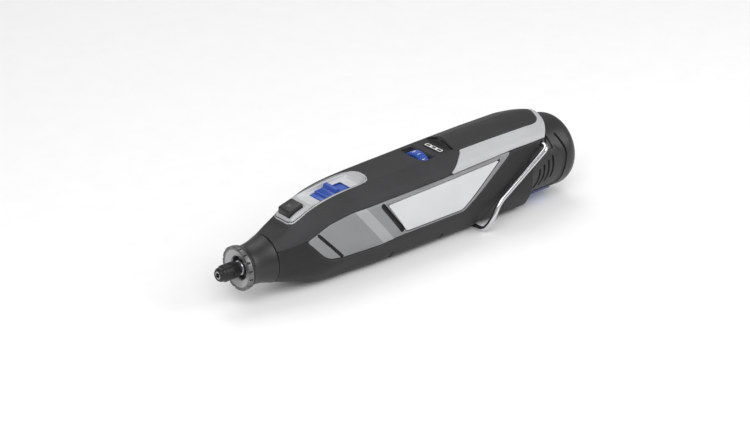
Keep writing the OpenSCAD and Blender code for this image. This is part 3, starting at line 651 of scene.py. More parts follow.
# Outlines, side views as (x, z) and top views as (x, y)
COVER = fillet([
    [48.6, 10], [58, -1.2], [62, -4.2], [71.6, -5.6], [97.6, -6], [105, -3.7], [111.6, -3.3], [156, -2.8],
    [194.8, 23.4], [146.6, 21.4], [103.6, 20.3], [77.6, 19.3], [70.6, 18.2], [63, 16.6], [56.6, 13.7],
], 2.0)
BADGE = fillet([[101.6, 17.3], [113.6, -1.6], [154.6, -1.2], [184.6, 20.6]], 1.2)
PANEL = fillet([
    [42.8, -5.6], [44.6, -8.3], [49.6, -8.9], [64, -9], [88, -9.6], [94, -9.4], [98, -7.4], [100.2, -4],
    [100.8, 0], [100.2, 4], [98, 7.4], [94, 9.4], [88, 9.6], [64, 9], [49.6, 8.9], [44.6, 8.3], [42.8, 5.6],
], 2.5)
INLAY = fillet([
    [158, -12.4], [208, -12.9], [217, -12.6], [222, -11.4], [226, -8], [228.2, 0],
    [226, 8], [222, 11.4], [217, 12.6], [208, 12.9], [158, 12.4],
], 2.0)
BAND = fillet([[146.9, 21.5], [194.8, 23.5], [240, 23.5], [240, 50], [161.4, 50], [160.7, 30.1]], 0.8)
UPPER = fillet([
    [20, 7.2], [30, 7.5], [41, 9.2], [48.4, 10.2], [56.6, 13.9], [63, 16.8], [70.6, 18.4], [77.6, 19.5],
    [103.6, 20.5], [146.5, 21.6], [160.4, 30.3], [161, 50], [20, 50],
], 1.0)
RIM = fillet([
    [20, -40], [213.6, -40], [213.6, -30], [211.2, -16], [210.6, 4], [212.2, 8.4], [222, 14.6],
    [225.6, 19], [227.5, 23.6], [242, 25.6], [242, 60], [20, 60],
], 3.0)
RIM_ARC_X, RIM_ARC_R = 205.4, 25.4
SEAM = 0.13
TOP_Z, FAR_OUT = 8, -20.0
NOSE_X = 31.75
BAIL_PIVOT = np.array([218.0, 20.5])
BAIL_Y = 25.8
FOOT = np.array([172.5, -20.8])
SCREWS = [(54, -14), (126, -14.6), (164, -14.6)]


def rim(v):
    radius = np.where(v[:, 0] > RIM_ARC_X, np.hypot(v[:, 0] - RIM_ARC_X, v[:, 1]), np.abs(v[:, 1]))
    return np.minimum(from_side(v, RIM), RIM_ARC_R - radius)


def window(v, x0, x1, half_y, corner=0.6):
    """Rounded rectangle in the top, positive inside."""
    dx = np.maximum(x0 + corner - v[:, 0], v[:, 0] - x1 + corner)
    dy = np.abs(v[:, 1]) - half_y + corner
    out = np.hypot(np.maximum(dx, 0), np.maximum(dy, 0)) + np.minimum(np.maximum(dx, dy), 0)
    return on_top(v, corner - out)


def band_of(v, line, half):
    """Positive within half of a side-view line."""
    line = np.asarray(line, float)
    return half - to_segments(v[:, [0, 2]], line[:-1], line[1:])


def behind_socket(v):
    """Inner face: parallel to the skin in front, and down to the battery socket behind."""
    flat = sunk(v, SKIN)
    q = v[:, :3]
    r = np.hypot(q[:, 1], q[:, 2] - SOCKET_Z)
    scale = SOCKET_R / r
    deep = np.stack([q[:, 0], q[:, 1] * scale, SOCKET_Z + (q[:, 2] - SOCKET_Z) * scale], 1)
    t = ramp((q[:, 0] - SOCKET_X) / SOCKET_FADE)[:, None]
    return flat * (1 - t) + deep * t


lock_lo, lock_hi = tool_box("lock_button")
dial_lo, dial_hi = tool_box("speed_dial")
gauge_lo, gauge_hi = tool_box("gauge_frame")
switch_lo, switch_hi = tool_box("slide_switch")
dial_x = (dial_lo[0] + dial_hi[0]) / 2
dial_half = (dial_hi[0] - dial_lo[0]) / 2

# Openings in the top: front, rear, half width, corner radius
OPENINGS = {
    "lock": (lock_lo[0] - 0.35, lock_hi[0] + 0.35, lock_hi[1] + 0.4, 0.6),
    "switch": (67.2, 89.2, 5.8, 0.8),
    "dial": (dial_lo[0] - 1, dial_hi[0] + 1, 10.4, 0.8),
    "gauge": (gauge_lo[0] - 0.1, gauge_hi[0] + 0.1, gauge_hi[1] + 0.1, 0.4),
}


def opening(v, name, grow=0.0):
    """One of the openings, grown all round, positive inside."""
    x0, x1, half, corner = OPENINGS[name]
    return window(v, x0 - grow, x1 + grow, half + grow, corner)


# The seam between the grips closes to a hairline in the nose
HAIRLINE = 0.02
NOSE_SEAM_X, NOSE_SEAM_LENGTH, NOSE_SEAM_GAIN = 45, 5, 7


def upper_edge(v, sign):
    """Distance to the upper grip's outline, from inside or outside; it grows faster in the nose."""
    opened = ramp((v[:, 0] - NOSE_SEAM_X) / NOSE_SEAM_LENGTH)
    return (sign * from_side(v, UPPER) - SEAM * opened - HAIRLINE) * (1 + NOSE_SEAM_GAIN * (1 - opened))


# Side covers and badges
FACET_WIDTH = 7.5
FACET_X, FACET_Z, FACET_SLANT = 80.2, 18.6, 0.765
COVER_STEP = 0.75
NOSE_FADE_X, NOSE_FADE_LENGTH = 52, 8


def nose_fade(v):
    """Share of the relief, which runs out towards the nose."""
    return ramp((v[:, 0] - NOSE_FADE_X) / NOSE_FADE_LENGTH)


def past_facet(v):
    """Distance behind the front edge of the slanted band."""
    return v[:, 0] - FACET_X - (FACET_Z - v[:, 2]) * FACET_SLANT


def cover_relief(v):
    """The cover's front part lies lower, and rises to the rear part over a slanted band."""
    return -COVER_STEP * (1 - ramp(past_facet(v) / FACET_WIDTH)) * nose_fade(v)


def cover_facet_painted_light(v):
    """The slanted band between the cover's two levels, painted a lighter grey as the light it catches."""
    return FACET_WIDTH / 2 - np.abs(past_facet(v) - FACET_WIDTH / 2)


FRONT_SLOT = [[55.8, 12.0], [69.9, -4.2]]
MIDDLE_SLOT = [[98.3, 17.6], [110.3, 0.4]]
# Side pieces stay this far from the middle plane
MIDDLE = 2
BADGE_GAP, BADGE_THICK, BADGE_SUNK = 0.05, 0.7, 0.1

for side, name in ((-1, "left"), (1, "right")):
    def cover_region(v, side=side):
        return np.minimum(from_side(v, COVER) - SEAM, side * v[:, 1] - MIDDLE)

    def badge_region(v, side=side):
        return np.minimum(from_side(v, BADGE) - BADGE_GAP, side * v[:, 1] - MIDDLE)

    skin_piece(
        f"cover_{name}", cover_region, ["cover", "well", "facet_painted_light"], [f"side_cover_{name}"], "cover_plastic",
        details=[
            # The slanted band gets painted light
            (cover_facet_painted_light, 0.0, 0.3, 2),
            # Look 1 paints shade into the recess round the badge and into the front and middle slots
            (lambda v: from_side(v, BADGE) + 0.3, 0.75, 0.25, 1),
            (lambda v: 0.3 - np.abs(from_side(v, BADGE) + 2.0), 0.35, 0.25, 0),
            (lambda v: band_of(v, FRONT_SLOT, 0.95), 0.75, 0.3, 1),
            (lambda v: band_of(v, MIDDLE_SLOT, 1.5), 1.3, 0.45, 1),
        ],
        relief=cover_relief, roll=0.45,
    )
    skin_piece(
        f"badge_plate_{name}", badge_region, ["badge"], [f"badge_{name}"], "badge_plate",
        relief=lambda v: np.full(len(v), -BADGE_SUNK), roll=0.25, inner=lambda v: sunk(v, BADGE_THICK),
    )


# Upper grip
def step_slot(v):
    """Slot ahead of the inlay's step, on both sides of the middle, with painted shade in it."""
    return on_top(v, np.minimum(0.55 - np.abs(v[:, 0] - 156.9), 4.7 - np.abs(np.abs(v[:, 1]) - 6.3)))


skin_piece(
    "grip_top",
    lambda v: np.minimum.reduce([
        upper_edge(v, 1), -from_top(v, PANEL) - SEAM, -from_top(v, INLAY) - SEAM, v[:, 0] - NOSE_X,
        -opening(v, "dial"), -opening(v, "gauge"),
    ]),
    ["rubber", "well"], ["upper_grip"], "grip_rubber",
    details=[
        (lambda v: opening(v, "dial", 0.9), 0.8, 0.9, 0),
        (lambda v: window(v, 147.6, 156.3, 10.6, 1.2), 0.3, 0.35, 0),
        (step_slot, 1.1, 0.3, 1),
    ],
    roll=0.45,
)


# Light top panel with its raised rim and sunk switch bed
PANEL_RIM, PANEL_RISE = 1.3, 0.5


def panel_relief(v):
    """Raised rim inside the outline."""
    gap = np.abs(from_top(v, PANEL) - PANEL_RIM)
    return PANEL_RISE * ramp(1 - gap / PANEL_RIM) * nose_fade(v)


def panel_groove_shade(v):
    """Groove a little inside the panel's outline, painted dark as its shade."""
    return 0.16 - np.abs(from_top(v, PANEL) - 0.75)


skin_piece(
    "panel_top",
    lambda v: np.minimum.reduce([from_top(v, PANEL) - SEAM, -opening(v, "lock"), -opening(v, "switch")]),
    ["panel", "well", "mark", "bed"], ["top_panel"], "light_plastic",
    details=[
        (lambda v: window(v, 58.5, 95.0, 8.1, 4.5), 0.85, 1.5, 3),
        (lambda v: window(v, 62.8, 91.6, 6.7, 2.5), 0.25, 0.6, 3),
        # The groove inside the outline gets painted shade
        (panel_groove_shade, 0.25, 0.12, 2),
        (lambda v: opening(v, "lock", 0.9), 0.4, 0.4, 0),
    ],
    relief=panel_relief, roll=0.4,
)


# Light band and black inlay behind the step
def inlay_line(v):
    """Fine line along each side of the inlay's flat top."""
    return on_top(v, 0.3 - np.abs(np.abs(v[:, 1]) - 10.2))


skin_piece(
    "band_rear",
    lambda v: np.minimum.reduce([from_side(v, BAND) - SEAM, -from_top(v, INLAY) - SEAM, rim(v)]),
    ["light"], ["rear_band"], "light_plastic", inner=behind_socket,
)
skin_piece(
    "inlay_top", lambda v: np.minimum(from_top(v, INLAY) - SEAM, rim(v)), ["inlay"], ["top_inlay"],
    "black_plastic", [(inlay_line, 0.22, 0.25, 0)], inner=behind_socket,
)


# Lower grips with the boot
FLAP = fillet([
    [232, 24.4], [215, 20.8], [208.2, 18.0], [205.4, 14.2], [202.6, 11.0], [196.2, 6.9], [181.6, -2.9],
    [178, -5.8], [175, -12.4], [170.3, -19.4], [170.3, -30], [240, -30], [240, 24.4],
], 2.5)


def flap(v):
    """The rear of the boot, which lies lower and takes the bail."""
    return np.minimum(from_side(v, FLAP), 24.0 - v[:, 2])


def flap_corner(v):
    """Rounded channel in the corner of the flap's step."""
    return 1.1 - np.abs(flap(v) - 1.5)


DITCH_X, DITCH_Z = (170.3, 178), -18.9
PAD_BREAKS, PAD_Z = (43.5, 108, 144.6), -15
PIVOT_HOLE_R, SCREW_HOLE_R = 1.75, 3.1
# Half the gap between the two grips, and around the bail's foot
GRIP_GAP = 0.05


def bail_ditch(v):
    """The channel across the underside that takes the bail's foot."""
    return np.minimum.reduce([v[:, 0] - DITCH_X[0], DITCH_X[1] - v[:, 0], DITCH_Z - v[:, 2]])


def boot_rim_painted_highlight(v):
    """Narrow paler line along the boot's rear rim: a painted highlight where the rolled rim catches light."""
    return np.minimum.reduce([0.42 - rim(v), v[:, 0] - 204, 23.2 - v[:, 2]])


def pads(v):
    """Shallow breaks between the pads on the underside."""
    breaks = np.minimum.reduce([np.abs(v[:, 0] - x) for x in PAD_BREAKS])
    return np.minimum(1.4 - breaks, PAD_Z - v[:, 2])


for side, name in ((-1, "left"), (1, "right")):
    def grip_region(v, side=side):
        parts = [
            upper_edge(v, -1), -from_side(v, COVER) - SEAM, -from_side(v, BAND) - SEAM,
            -from_top(v, INLAY) - SEAM, rim(v), side * v[:, 1] - GRIP_GAP, v[:, 0] - NOSE_X,
            -bail_ditch(v) - GRIP_GAP,
            np.hypot(v[:, 0] - BAIL_PIVOT[0], v[:, 2] - BAIL_PIVOT[1]) - PIVOT_HOLE_R,
        ]
        if side > 0:
            parts += [np.hypot(v[:, 0] - x, v[:, 2] - z) - SCREW_HOLE_R for x, z in SCREWS]
        return np.minimum.reduce(parts)

    skin_piece(
        f"grip_lower_{name}", grip_region, ["boot", "edge"], [f"grip_{name}"], "grip_rubber",
        [(flap, 0.85, 0.7, 0), (flap_corner, 0.5, 0.8, 0), (pads, 0.6, 0.5, 0), (boot_rim_painted_highlight, 0.0, 0.1, 1)],
        inner=behind_socket, roll=0.6,
    )

# ---- nose

cap_lo, cap_hi = tool_box("nose_cap")
ring_lo, ring_hi = tool_box("nose_ring")
nut_lo, nut_hi = tool_box("collet_nut")
CAP_BORE, CAP_MOUTH = 9.6, 10.05
RING_R = ring_hi[1]
RING_HOLE = 7.0


def curve_through(points, step=0.5):
    """Smooth (x, r) line through a few points."""
    p = np.asarray(points, float)
    fine = np.linspace(0, len(p) - 1, int((p[-1, 0] - p[0, 0]) / step) + 1)
    out = []
    for f in fine:
        i = min(int(f), len(p) - 2)
        u = f - i
        p0, p1, p2, p3 = p[max(i - 1, 0)], p[i], p[i + 1], p[min(i + 2, len(p) - 1)]
        out.append(
            0.5 * (2 * p1 + (p2 - p0) * u + (2 * p0 - 5 * p1 + 4 * p2 - p3) * u**2
                   + (3 * p1 - p0 - 3 * p2 + p3) * u**3)
        )
    return np.array(out)


outer = curve_through([
    [cap_lo[0] + 0.9, 12.2], [17.6, 11.5], [19.4, 11.25], [21.4, 11.35], [24.2, 11.75], [27.5, 12.55],
    [30, 13.35], [cap_hi[0] - 0.35, 13.72],
])
cap_profile = (
    [[cap_lo[0], CAP_MOUTH], [cap_lo[0], 11.9], [cap_lo[0] + 0.25, 12.15]]
    + outer.tolist()
    + [[cap_hi[0], 13.4], [cap_hi[0], CAP_BORE], [18.6, CAP_BORE], [18.6, CAP_MOUTH]]
)
add_piece("cap_nose", *lathe(cap_profile, 128), ["black"], "nose_cap", ["nose_cap"], "black_plastic")

NOTCHES, NOTCH_DEPTH = 16, 0.6
ring_profile = [
    [14.05, RING_HOLE], [13.75, RING_HOLE + 0.5], [12.75, RING_R - 1.9], [12.45, RING_R - 1.2],
    [ring_lo[0], RING_R - 0.8], [ring_lo[0] + 0.05, RING_R - 0.35], [12.65, RING_R - 0.05],
    [13.0, RING_R], [14.6, RING_R], [15.1, RING_R - 0.05], [15.3, RING_R - 0.35], [15.3, 10.0],
    [18.4, 10.0], [18.4, 6.6], [14.9, 6.6],
]


def notched(angle, x, r):
    """Short notches cut into the ring's outer edge."""
    phase = (angle * NOTCHES / (2 * math.pi)) % 1.0
    near = np.abs(phase - 0.5) < 0.1
    edge = (r > RING_R - 1.0) & (x < 14.2)
    return x, np.where(near & edge, r - NOTCH_DEPTH, r)


points, faces = lathe(ring_profile, NOTCHES * 12, ripple=notched)
middles = points[np.array(faces)].mean(1)
middle_r = np.hypot(middles[:, 1], middles[:, 2])
# Look 1 is the darker outer band, look 2 the notches in it, which get painted shade
look_of = (middle_r > RING_R - 1.6).astype(int)
in_notch = (middle_r < RING_R - 0.2) & (middle_r > RING_R - 0.9) & (np.abs(middles[:, 0] - 13.5) < 0.85)
look_of[in_notch] = 2
add_piece(
    "ring_nose", points, faces, ["ring", "ring_band", "well"], "nose_ring", ["nose_ring"], "plated_steel",
    index=look_of, crease=25,
)

NUT_R = nut_hi[1]
FLAT_DEPTH = 0.42
nut_profile = [
    [0.15, 2.35], [nut_lo[0], 2.5], [nut_lo[0], 2.95], [0.25, 3.2], [1.1, 3.85], [2.5, 4.05], [2.75, 4.1],
    [3.1, 4.3], [3.5, NUT_R - 0.05], [3.8, NUT_R], [4.2, NUT_R], [4.3, NUT_R],
    [8.0, NUT_R], [8.1, NUT_R], [8.2, NUT_R], [8.35, NUT_R - 0.12], [8.6, NUT_R - 0.12], [8.75, NUT_R],
    [11.9, NUT_R], [12.3, NUT_R - 0.25], [12.4, NUT_R - 0.5], [12.4, 3.55], [4.4, 3.55], [4.2, 3.05],
    [1.7, 2.35],
]


def flats(angle, x, r):
    """Four wrench flats on the nut's middle."""
    off = np.abs(((angle + math.pi / 4) % (math.pi / 2)) - math.pi / 4)
    flat = (NUT_R - FLAT_DEPTH) / np.maximum(np.cos(off), 0.3)
    on = (x > 4.2) & (x < 8.1) & (r > 4.3)
    return x, np.where(on, np.minimum(r, flat), r)


nut = lathe(nut_profile, 96, ripple=flats)
add_piece("nut_collet", *nut, ["oxide"], "nut", ["collet_nut"], "black_steel", crease=25)

# ---- controls

# Lock button with a sloping top and a padlock mark
TOP_FRONT, TOP_REAR = np.array([45.8, 25.2]), np.array([53.9, 27.4])
button = fillet([
    [lock_lo[0], lock_lo[2]], [lock_hi[0], lock_lo[2]], [lock_hi[0], 27.1], TOP_REAR, TOP_FRONT,
    [lock_lo[0], 24.6],
], 0.5, 4)
button = bevelled(*prism(button, 1, -lock_hi[1], lock_hi[1]), 0.7, 3)
add_piece("button_lock", *button, ["black"], "lock", ["lock_button"], "black_plastic")

slope = TOP_REAR - TOP_FRONT
slope = slope / np.linalg.norm(slope)
lift = np.array([-slope[1], slope[0]])
mark_centre = (TOP_FRONT + TOP_REAR) / 2


def on_button(u, w, h):
    """A point on the button's top: u towards the rear, w to the side, h above."""
    q = mark_centre + slope * u + lift * h
    return [q[0], w, q[1]]


# Padlock: a plate and a wire for its shackle
MARK_HALF, MARK_WIRE = 1.5, 0.16
plate_outline = rect(-1.9, 0.1, -MARK_HALF, MARK_HALF)
plate = loft([[on_button(u, w, h) for u, w in plate_outline] for h in (-0.1, 0.08)], closed=False)
shackle = [on_button(0.1, 1.0, 0.02)]
shackle += [on_button(1.0 + math.sin(t), math.cos(t), 0.02) for t in np.linspace(0, math.pi, 11)]
shackle += [on_button(0.1, -1.0, 0.02)]
mark = joined(plate, sweep(shackle, MARK_WIRE, 8))
add_piece("mark_lock", *mark, ["mark"], "lock", (), "black_plastic")

# Slide switch: skirt under the panel, fin below it, plate, thumb block and three ribs
skirt_z = switch_lo[2] + 1.8
FIN_X, FIN_HALF = (73, 74.4), 1.2
SWITCH_HALF, RIB_HALF = 5.5, 4.6
RIB_X, RIB_WIDTH, RIB_Z = (71.9, 73.1, 74.3), 0.6, (26.2, 26.95)
skirt_outline = [[switch_lo[0], skirt_z], [switch_hi[0], skirt_z], [switch_hi[0], 25.1], [switch_lo[0], 24.0]]
skirt = prism(skirt_outline, 1, switch_lo[1], switch_hi[1])
fin = prism(rect(*FIN_X, switch_lo[2], skirt_z + 0.2), 1, -FIN_HALF, FIN_HALF)
block_outline = fillet([
    [70.4, 24], [81.8, 24], [81.6, 25.4], [80.4, 26.4], [79.7, 28.6], [79.3, 29], [77.5, 29], [77.0, 28.7],
    [76.4, 26.9], [74.6, 26.6], [70.8, 26.4],
], 0.35, 4)
block = bevelled(*prism(block_outline, 1, -SWITCH_HALF, SWITCH_HALF), 0.4, 3, 35)
plate_outline = fillet([[67.6, 23.7], [84.0, 23.7], [84.0, 25.2], [67.6, 24.9]], 0.2, 3)
switch_plate = bevelled(*prism(plate_outline, 1, -SWITCH_HALF, SWITCH_HALF), 0.2, 2, 35)
ribs = [bevelled(*prism(rect(x, x + RIB_WIDTH, *RIB_Z), 1, -RIB_HALF, RIB_HALF), 0.15, 2) for x in RIB_X]
switch = joined(skirt, fin, block, switch_plate, *ribs)
add_piece("switch_slide_cap", *switch, ["blue"], "switch", ["slide_switch"], "blue_plastic")

# Speed wheel with ribs and white strokes that grow longer
DIAL_RIBS, RIB_DEPTH = 36, 0.55
dial_r = (dial_hi[2] - dial_lo[2]) / 2
dial_z = (dial_hi[2] + dial_lo[2]) / 2
half_rim = [
    [dial_half, 1.6], [dial_half, dial_r - 1.3], [dial_half - 0.25, dial_r - 0.9],
    [dial_half - 0.6, dial_r - 0.55], [dial_half - 0.9, dial_r],
]
dial_profile = [[dial_x - u, r] for u, r in half_rim] + [[dial_x, dial_r]]
dial_profile += [[dial_x + u, r] for u, r in half_rim[::-1]]


def ribbed(angle, x, r):
    phase = (angle * DIAL_RIBS / (2 * math.pi)) % 1.0
    wave = ramp((np.abs(phase - 0.5) - 0.18) / 0.16)
    return x, np.where(r > dial_r - 0.1, r - RIB_DEPTH * wave, r)


wheel = lathe(dial_profile, DIAL_RIBS * 10, dial_z, ribbed)
add_piece("wheel_speed", *wheel, ["blue"], "dial", ["speed_dial"], "blue_plastic", crease=28)

STROKES, STROKE_DEGREES = range(-5, 6, 2), 12
STROKE_X, STROKE_HALF = dial_x - 2.0, 0.16
ticks = []
for k in STROKES:
    sin, cos = (f(math.radians(k * STROKE_DEGREES)) for f in (math.sin, math.cos))
    length = 1.6 + 0.12 * (k + 5)
    outline = rect(STROKE_X, STROKE_X + length, -STROKE_HALF, STROKE_HALF)
    levels = [
        [[x, r * sin + o * cos, dial_z + r * cos - o * sin] for x, o in outline]
        for r in (dial_r - 0.6, dial_r + 0.03)
    ]
    ticks.append(loft(levels, closed=False))
add_piece("marks_wheel", *joined(*ticks), ["white"], "dial", (), "blue_plastic")

# Battery gauge: three framed windows with bars between them
GAUGE_Z = gauge_hi[2]
CELL_Y, CELL_HALF = (-4.6, 0.0, 4.6), 2.2
BAR_Y, BAR_HALF, PANE_HALF = (-2.3, 2.3), 0.75, 1.4
gx0, gx1, gy = gauge_lo[0], gauge_hi[0], gauge_hi[1]
plate = bevelled(*prism(rect(gx0, gx1, gauge_lo[2], GAUGE_Z), 1, -gy, gy), 0.25, 3)
add_piece("gauge_plate", *plate, ["black"], "housing", ["gauge_frame"], "black_plastic")


def flat_ring(x0, x1, y0, y1, width, z0, z1):
    """Rectangular outline of a small height."""
    outer_xy = fillet(rect(x0, x1, y0, y1), 0.5, 4)
    inner_xy = fillet(rect(x0 + width, x1 - width, y0 + width, y1 - width), 0.35, 4)
    sections = [[[*a, z0], [*b, z0], [*b, z1], [*a, z1]] for a, b in zip(outer_xy, inner_xy)]
    return loft(sections, closed=True)


def tile(y, margin, half, depth, rise):
    """Flat block across the gauge at y, from depth under its top to rise above it."""
    outline = rect(gx0 + margin, gx1 - margin, y - half, y + half)
    return prism(outline, 2, GAUGE_Z - depth, GAUGE_Z + rise)


lines = [
    flat_ring(gx0 + 0.6, gx1 - 0.6, y - CELL_HALF, y + CELL_HALF, 0.55, GAUGE_Z - 0.1, GAUGE_Z + 0.06)
    for y in CELL_Y
]
bars = [tile(y, 0.8, BAR_HALF, 0.1, 0.05) for y in BAR_Y]
add_piece("gauge_lines", *joined(*lines, *bars), ["white"], "housing", (), "clear_window")
panes = [bevelled(*tile(y, 1.1, PANE_HALF, 2.3, 0.03), 0.08, 1) for y in CELL_Y]
add_piece("gauge_panes", *joined(*panes), ["window"], "housing", ["gauge_window"], "clear_window")

# ---- bail

WIRE_R = 1.5
PIVOT_Y = 16.6
half_line = fillet([
    [BAIL_PIVOT[0], 16.5, BAIL_PIVOT[1]], [BAIL_PIVOT[0], BAIL_Y, BAIL_PIVOT[1]], [180.5, BAIL_Y, -3.6],
    [176, BAIL_Y - 0.2, -12.6], [FOOT[0] + 0.4, 21.4, FOOT[1]], [FOOT[0], 0, FOOT[1]],
], 4.2, 9, closed=False)
mirrored = half_line[-2::-1] * np.array([1, -1, 1])
wire_path = np.concatenate([half_line, mirrored])
# The ends that turn in the housing are a little thinner
in_pivot = (np.abs(wire_path[:, 1]) < PIVOT_Y) & (wire_path[:, 2] > 0)
wire = sweep(wire_path, np.where(in_pivot, WIRE_R - 0.1, WIRE_R), 24)
add_piece("bail_wire", *wire, ["chrome"], "bail", ["hanger_bail"], "plated_steel", crease=60)

# ---- battery

battery_lo, battery_hi = tool_box("battery_cap")
BATTERY_R = (battery_hi[2] - battery_lo[2]) / 2
END_ROUND, END_HOLE_R = 10.0, 0.6
RELEASE_X, RELEASE_HALF, RELEASE_Z = (220.7, 235.3), 11.3, -8
BODY_X0 = 204.0


def battery_grid():
    """Outer surface of the battery: a cylinder with a rounded end and a flat cap."""
    along = [[x, BATTERY_R, 0.0, 1.0] for x in np.arange(BODY_X0, OVERALL - END_ROUND, 0.8)]
    for t in np.linspace(0, math.pi / 2, 20):
        along.append([
            OVERALL - END_ROUND + END_ROUND * math.sin(t), BATTERY_R - END_ROUND + END_ROUND * math.cos(t),
            math.sin(t), math.cos(t),
        ])
    for r in np.linspace(BATTERY_R - END_ROUND, END_HOLE_R, 14)[1:]:
        along.append([OVERALL, r, 1.0, 0.0])
    around = 180
    a = np.arange(around) * 2 * math.pi / around
    sin, cos = np.sin(a), np.cos(a)
    x, r, normal_x, normal_r = np.array(along).T[:, :, None] * np.ones(around)
    v = np.stack([x, r * sin, r * cos + SOCKET_Z, normal_x, normal_r * sin, normal_r * cos], -1)
    # A fan closes the small hole in the middle of the end
    hub = np.array([[OVERALL, 0, SOCKET_Z, 1.0, 0, 0]])
    count = len(along) * around
    last = np.arange(count - around, count)
    fan = np.stack([last, np.roll(last, -1), np.full(around, count)], 1)
    v = np.concatenate([v.reshape(-1, 6), hub])
    tri = np.concatenate([grid_triangles(len(along), around), fan])
    return v, orient(tri, v[:, :3], v[:, 3:6])


def release_window(v):
    return np.minimum.reduce([
        v[:, 0] - RELEASE_X[0], RELEASE_X[1] - v[:, 0], RELEASE_HALF - np.abs(v[:, 1]), RELEASE_Z - v[:, 2],
    ])


GROOVE_TOP = [[226.4, 23.4], [227.9, 14.8]]
GROOVE_SIDE = fillet([
    [233.8, 20.6], [237.8, 11], [236.4, 3], [235.4, -5], [234.4, -10.6], [229, -10.8], [206, -11.6],
], 4.0, 7, closed=False)
VENTS = []
for t in np.arange(4) / 3:
    top_end = np.array([216.2, 4.8]) * (1 - t) + np.array([226.9, 10.3]) * t
    low_end = np.array([213.6, -7.6]) * (1 - t) + np.array([225.3, -2.5]) * t
    bow = (top_end + low_end) / 2 + np.array([0.9, -0.2])
    VENTS.append(fillet([top_end, bow, low_end], 5.0, 6, closed=False))


def vents(v):
    return np.maximum.reduce([band_of(v, line, 0.75) for line in VENTS])


def under_boot(v):
    """Grey strip ahead of the release, under the boot's edge."""
    return np.minimum.reduce([219.6 - v[:, 0], -11.0 - v[:, 2], 12.0 - np.abs(v[:, 1])])


# Recessed panel that holds the vents, ahead of the side groove
SIDE_PANEL = fillet([[204, -11], [233, -10], [235, 1.2], [236, 9.6], [229.6, 16.4], [204, 4.0]], 2.0)

# Thickness of the battery's shell
SHELL = 1.65

skin_piece(
    "battery_shell",
    lambda v: np.minimum(-rim(v) - 0.42, -release_window(v) - 0.02),
    ["black", "well", "cover"], ["battery_case", "battery_cap"], "black_plastic",
    details=[
        # Look 1 paints shade into the top and side grooves and the vents
        (lambda v: band_of(v, GROOVE_TOP, 0.6), 0.8, 0.3, 1),
        (lambda v: band_of(v, GROOVE_SIDE, 0.75), 1.0, 0.35, 1),
        (lambda v: from_side(v, SIDE_PANEL), 0.35, 0.8, 0),
        (vents, 1.0, 0.35, 1),
        (under_boot, 0.15, 0.2, 2),
    ],
    inner=lambda v: sunk(v, SHELL), surface=battery_grid(), body="battery",
)

# The part of the battery inside the housing; its lower rear is open over the release
STICK_X0, STICK_X1 = tool_box("battery_case")[0][0], 236.0
STICK_R, STICK_WALL = 20.5, 0.65
STICK_FULL_X = tool_box("battery_release")[0][0] - 0.6
STICK_GAP = math.radians(42)


def arc_shell(x0, x1, r0, r1, start, end, steps, centre_z):
    """Part of a tube between two angles, which are counted from straight down."""
    section = rect(x0, x1, r0, r1)
    angles = np.linspace(start, end, steps + 1)
    return loft(
        [[[x, r * math.sin(a), centre_z - r * math.cos(a)] for x, r in section] for a in angles], closed=False
    )


# Plate with three contact slots in the stick's front
SLOT_HOLE_R = 10.4
slot_z0, slot_z1, slot_half = SOCKET_Z - 6.3, SOCKET_Z + 5.7, 1.2
slot_y = tool_box("battery_contacts")[1][1] - 1.0
plate_half = SLOT_HOLE_R + 0.6
stick_inner = STICK_R - STICK_WALL
stick_profile = [
    [STICK_X0, SLOT_HOLE_R], [STICK_X0, STICK_R - 1.2], [STICK_X0 + 0.35, STICK_R - 0.35],
    [STICK_X0 + 1.2, STICK_R], [STICK_FULL_X, STICK_R], [STICK_FULL_X, stick_inner],
    [STICK_X0 + 1.6, stick_inner], [STICK_X0 + 1.6, SLOT_HOLE_R],
]
stick_front = lathe(stick_profile, 96, SOCKET_Z)
stick_rear = arc_shell(
    STICK_FULL_X - 0.4, STICK_X1, stick_inner, STICK_R - 0.02, STICK_GAP, 2 * math.pi - STICK_GAP, 72,
    SOCKET_Z,
)
bar_sides = [
    (-plate_half, -slot_y - slot_half), (-slot_y + slot_half, -slot_half),
    (slot_half, slot_y - slot_half), (slot_y + slot_half, plate_half),
]
bars = [(y0, y1, slot_z0 - 0.05, slot_z1 + 0.05) for y0, y1 in bar_sides]
bars.append((-plate_half, plate_half, slot_z1, SOCKET_Z + plate_half))
bars.append((-plate_half, plate_half, SOCKET_Z - plate_half, slot_z0))
slot_plate = [prism(rect(*bar), 0, STICK_X0 + 0.5, STICK_X0 + 1.4) for bar in bars]
stick = joined(stick_front, stick_rear, *slot_plate)
add_piece("battery_stick", *stick, ["black", "well"], "battery", (), "black_plastic")

# ---- springs


def coil(centre_x, z0, z1, radius, wire, turns):
    """Round wire wound between two heights, with a closed turn at each end."""
    t = np.linspace(0, turns, turns * 20 + 1)
    share = np.clip((t - 0.75) / (turns - 1.5), 0, 1)
    height = z0 + wire + (z1 - z0 - 2 * wire) * share
    angle = 2 * math.pi * t
    path = np.stack([centre_x + radius * np.cos(angle), radius * np.sin(angle), height], 1)
    return sweep(path, wire, 8)


def spring_piece(name, node, body, wire, turns):
    """A coil in place of a CAD spring."""
    lo, hi = tool_box(node)
    centre_x = (lo[0] + hi[0]) / 2
    spring = coil(centre_x, lo[2], hi[2], hi[1] - wire, wire, turns)
    piece = add_piece(name, *spring, ["steel"], body, [node], "steel")
    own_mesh(piece)


spring_piece("coil_lock", "lock_spring", "housing", 0.3, 5)
spring_piece("coil_release", "release_spring", "battery", 0.2, 5)

# ---- floor, light, camera

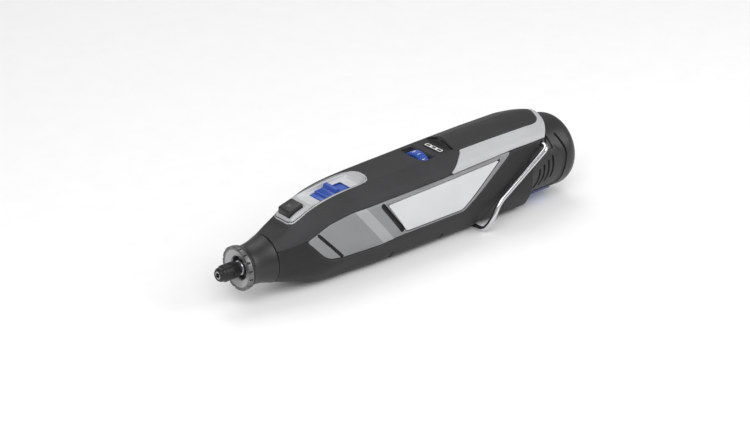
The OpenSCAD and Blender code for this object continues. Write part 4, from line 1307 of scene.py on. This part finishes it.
FLOOR, FLOOR_DROP = 6.0, 0.0002
floor_mesh = bpy.data.meshes.new("floor")
corners = [(x, y, 0) for x, y in rect(-FLOOR, FLOOR, -FLOOR, FLOOR)]
floor_mesh.from_pydata(corners, [], [(0, 1, 2, 3)])
floor_mesh.materials.append(finish("floor_pale", (0.93, 0.93, 0.93), 0.7, 5.0, 0.05, 0.2, 0.01))
floor = bpy.data.objects.new("floor", floor_mesh)
floor.location.z = -FLOOR_DROP
bpy.context.scene.collection.objects.link(floor)

world = bpy.data.worlds.new("studio")
bpy.context.scene.world = world
world.use_nodes = True
background = world.node_tree.nodes["Background"]
background.inputs["Color"].default_value = (1, 1, 1, 1)
background.inputs["Strength"].default_value = 0.42

TARGET = Vector(to_row([110, 0, 0]).tolist())


def area_light(name, direction, distance, size, power):
    """Square soft light that looks at the tool's middle from a direction."""
    data = bpy.data.lights.new(name, "AREA")
    data.shape = "SQUARE"
    data.size = size
    data.energy = power
    obj = bpy.data.objects.new(name, data)
    back = Vector(direction).normalized()
    obj.location = TARGET + back * distance
    obj.rotation_euler = back.to_track_quat("Z", "Y").to_euler()
    bpy.context.scene.collection.objects.link(obj)


area_light("key", (-0.6, -0.7, 0.9), 1.2, 0.8, 9)
area_light("side", (0.7, -0.7, 0.6), 1.3, 0.8, 6)
area_light("top", (0.2, 0.5, 1.0), 1.3, 0.9, 4.5)

# The camera looks from the front left and above, as the photograph does
AZIMUTH, ELEVATION, ROLL = (math.radians(a) for a in (-39.333, 25.858, 0.564))
SENSOR, LENS = 36.0, 99.58
DISTANCE, AIM_RIGHT, AIM_UP = 1.168, 0.00074, 0.00358

turn = (
    Matrix.Rotation(AZIMUTH, 3, "Z")
    @ Matrix.Rotation(math.pi / 2 - ELEVATION, 3, "X")
    @ Matrix.Rotation(-ROLL, 3, "Z")
)
eye = TARGET + turn @ Vector((-AIM_RIGHT, AIM_UP, DISTANCE))
camera_data = bpy.data.cameras.new("camera")
camera_data.sensor_width = SENSOR
camera_data.lens = LENS
camera_data.clip_start = 0.01
camera = bpy.data.objects.new("camera", camera_data)
camera.matrix_world = Matrix.Translation(eye) @ turn.to_4x4()
bpy.context.scene.collection.objects.link(camera)
bpy.context.scene.camera = camera
bpy.context.scene.view_settings.view_transform = "Standard"
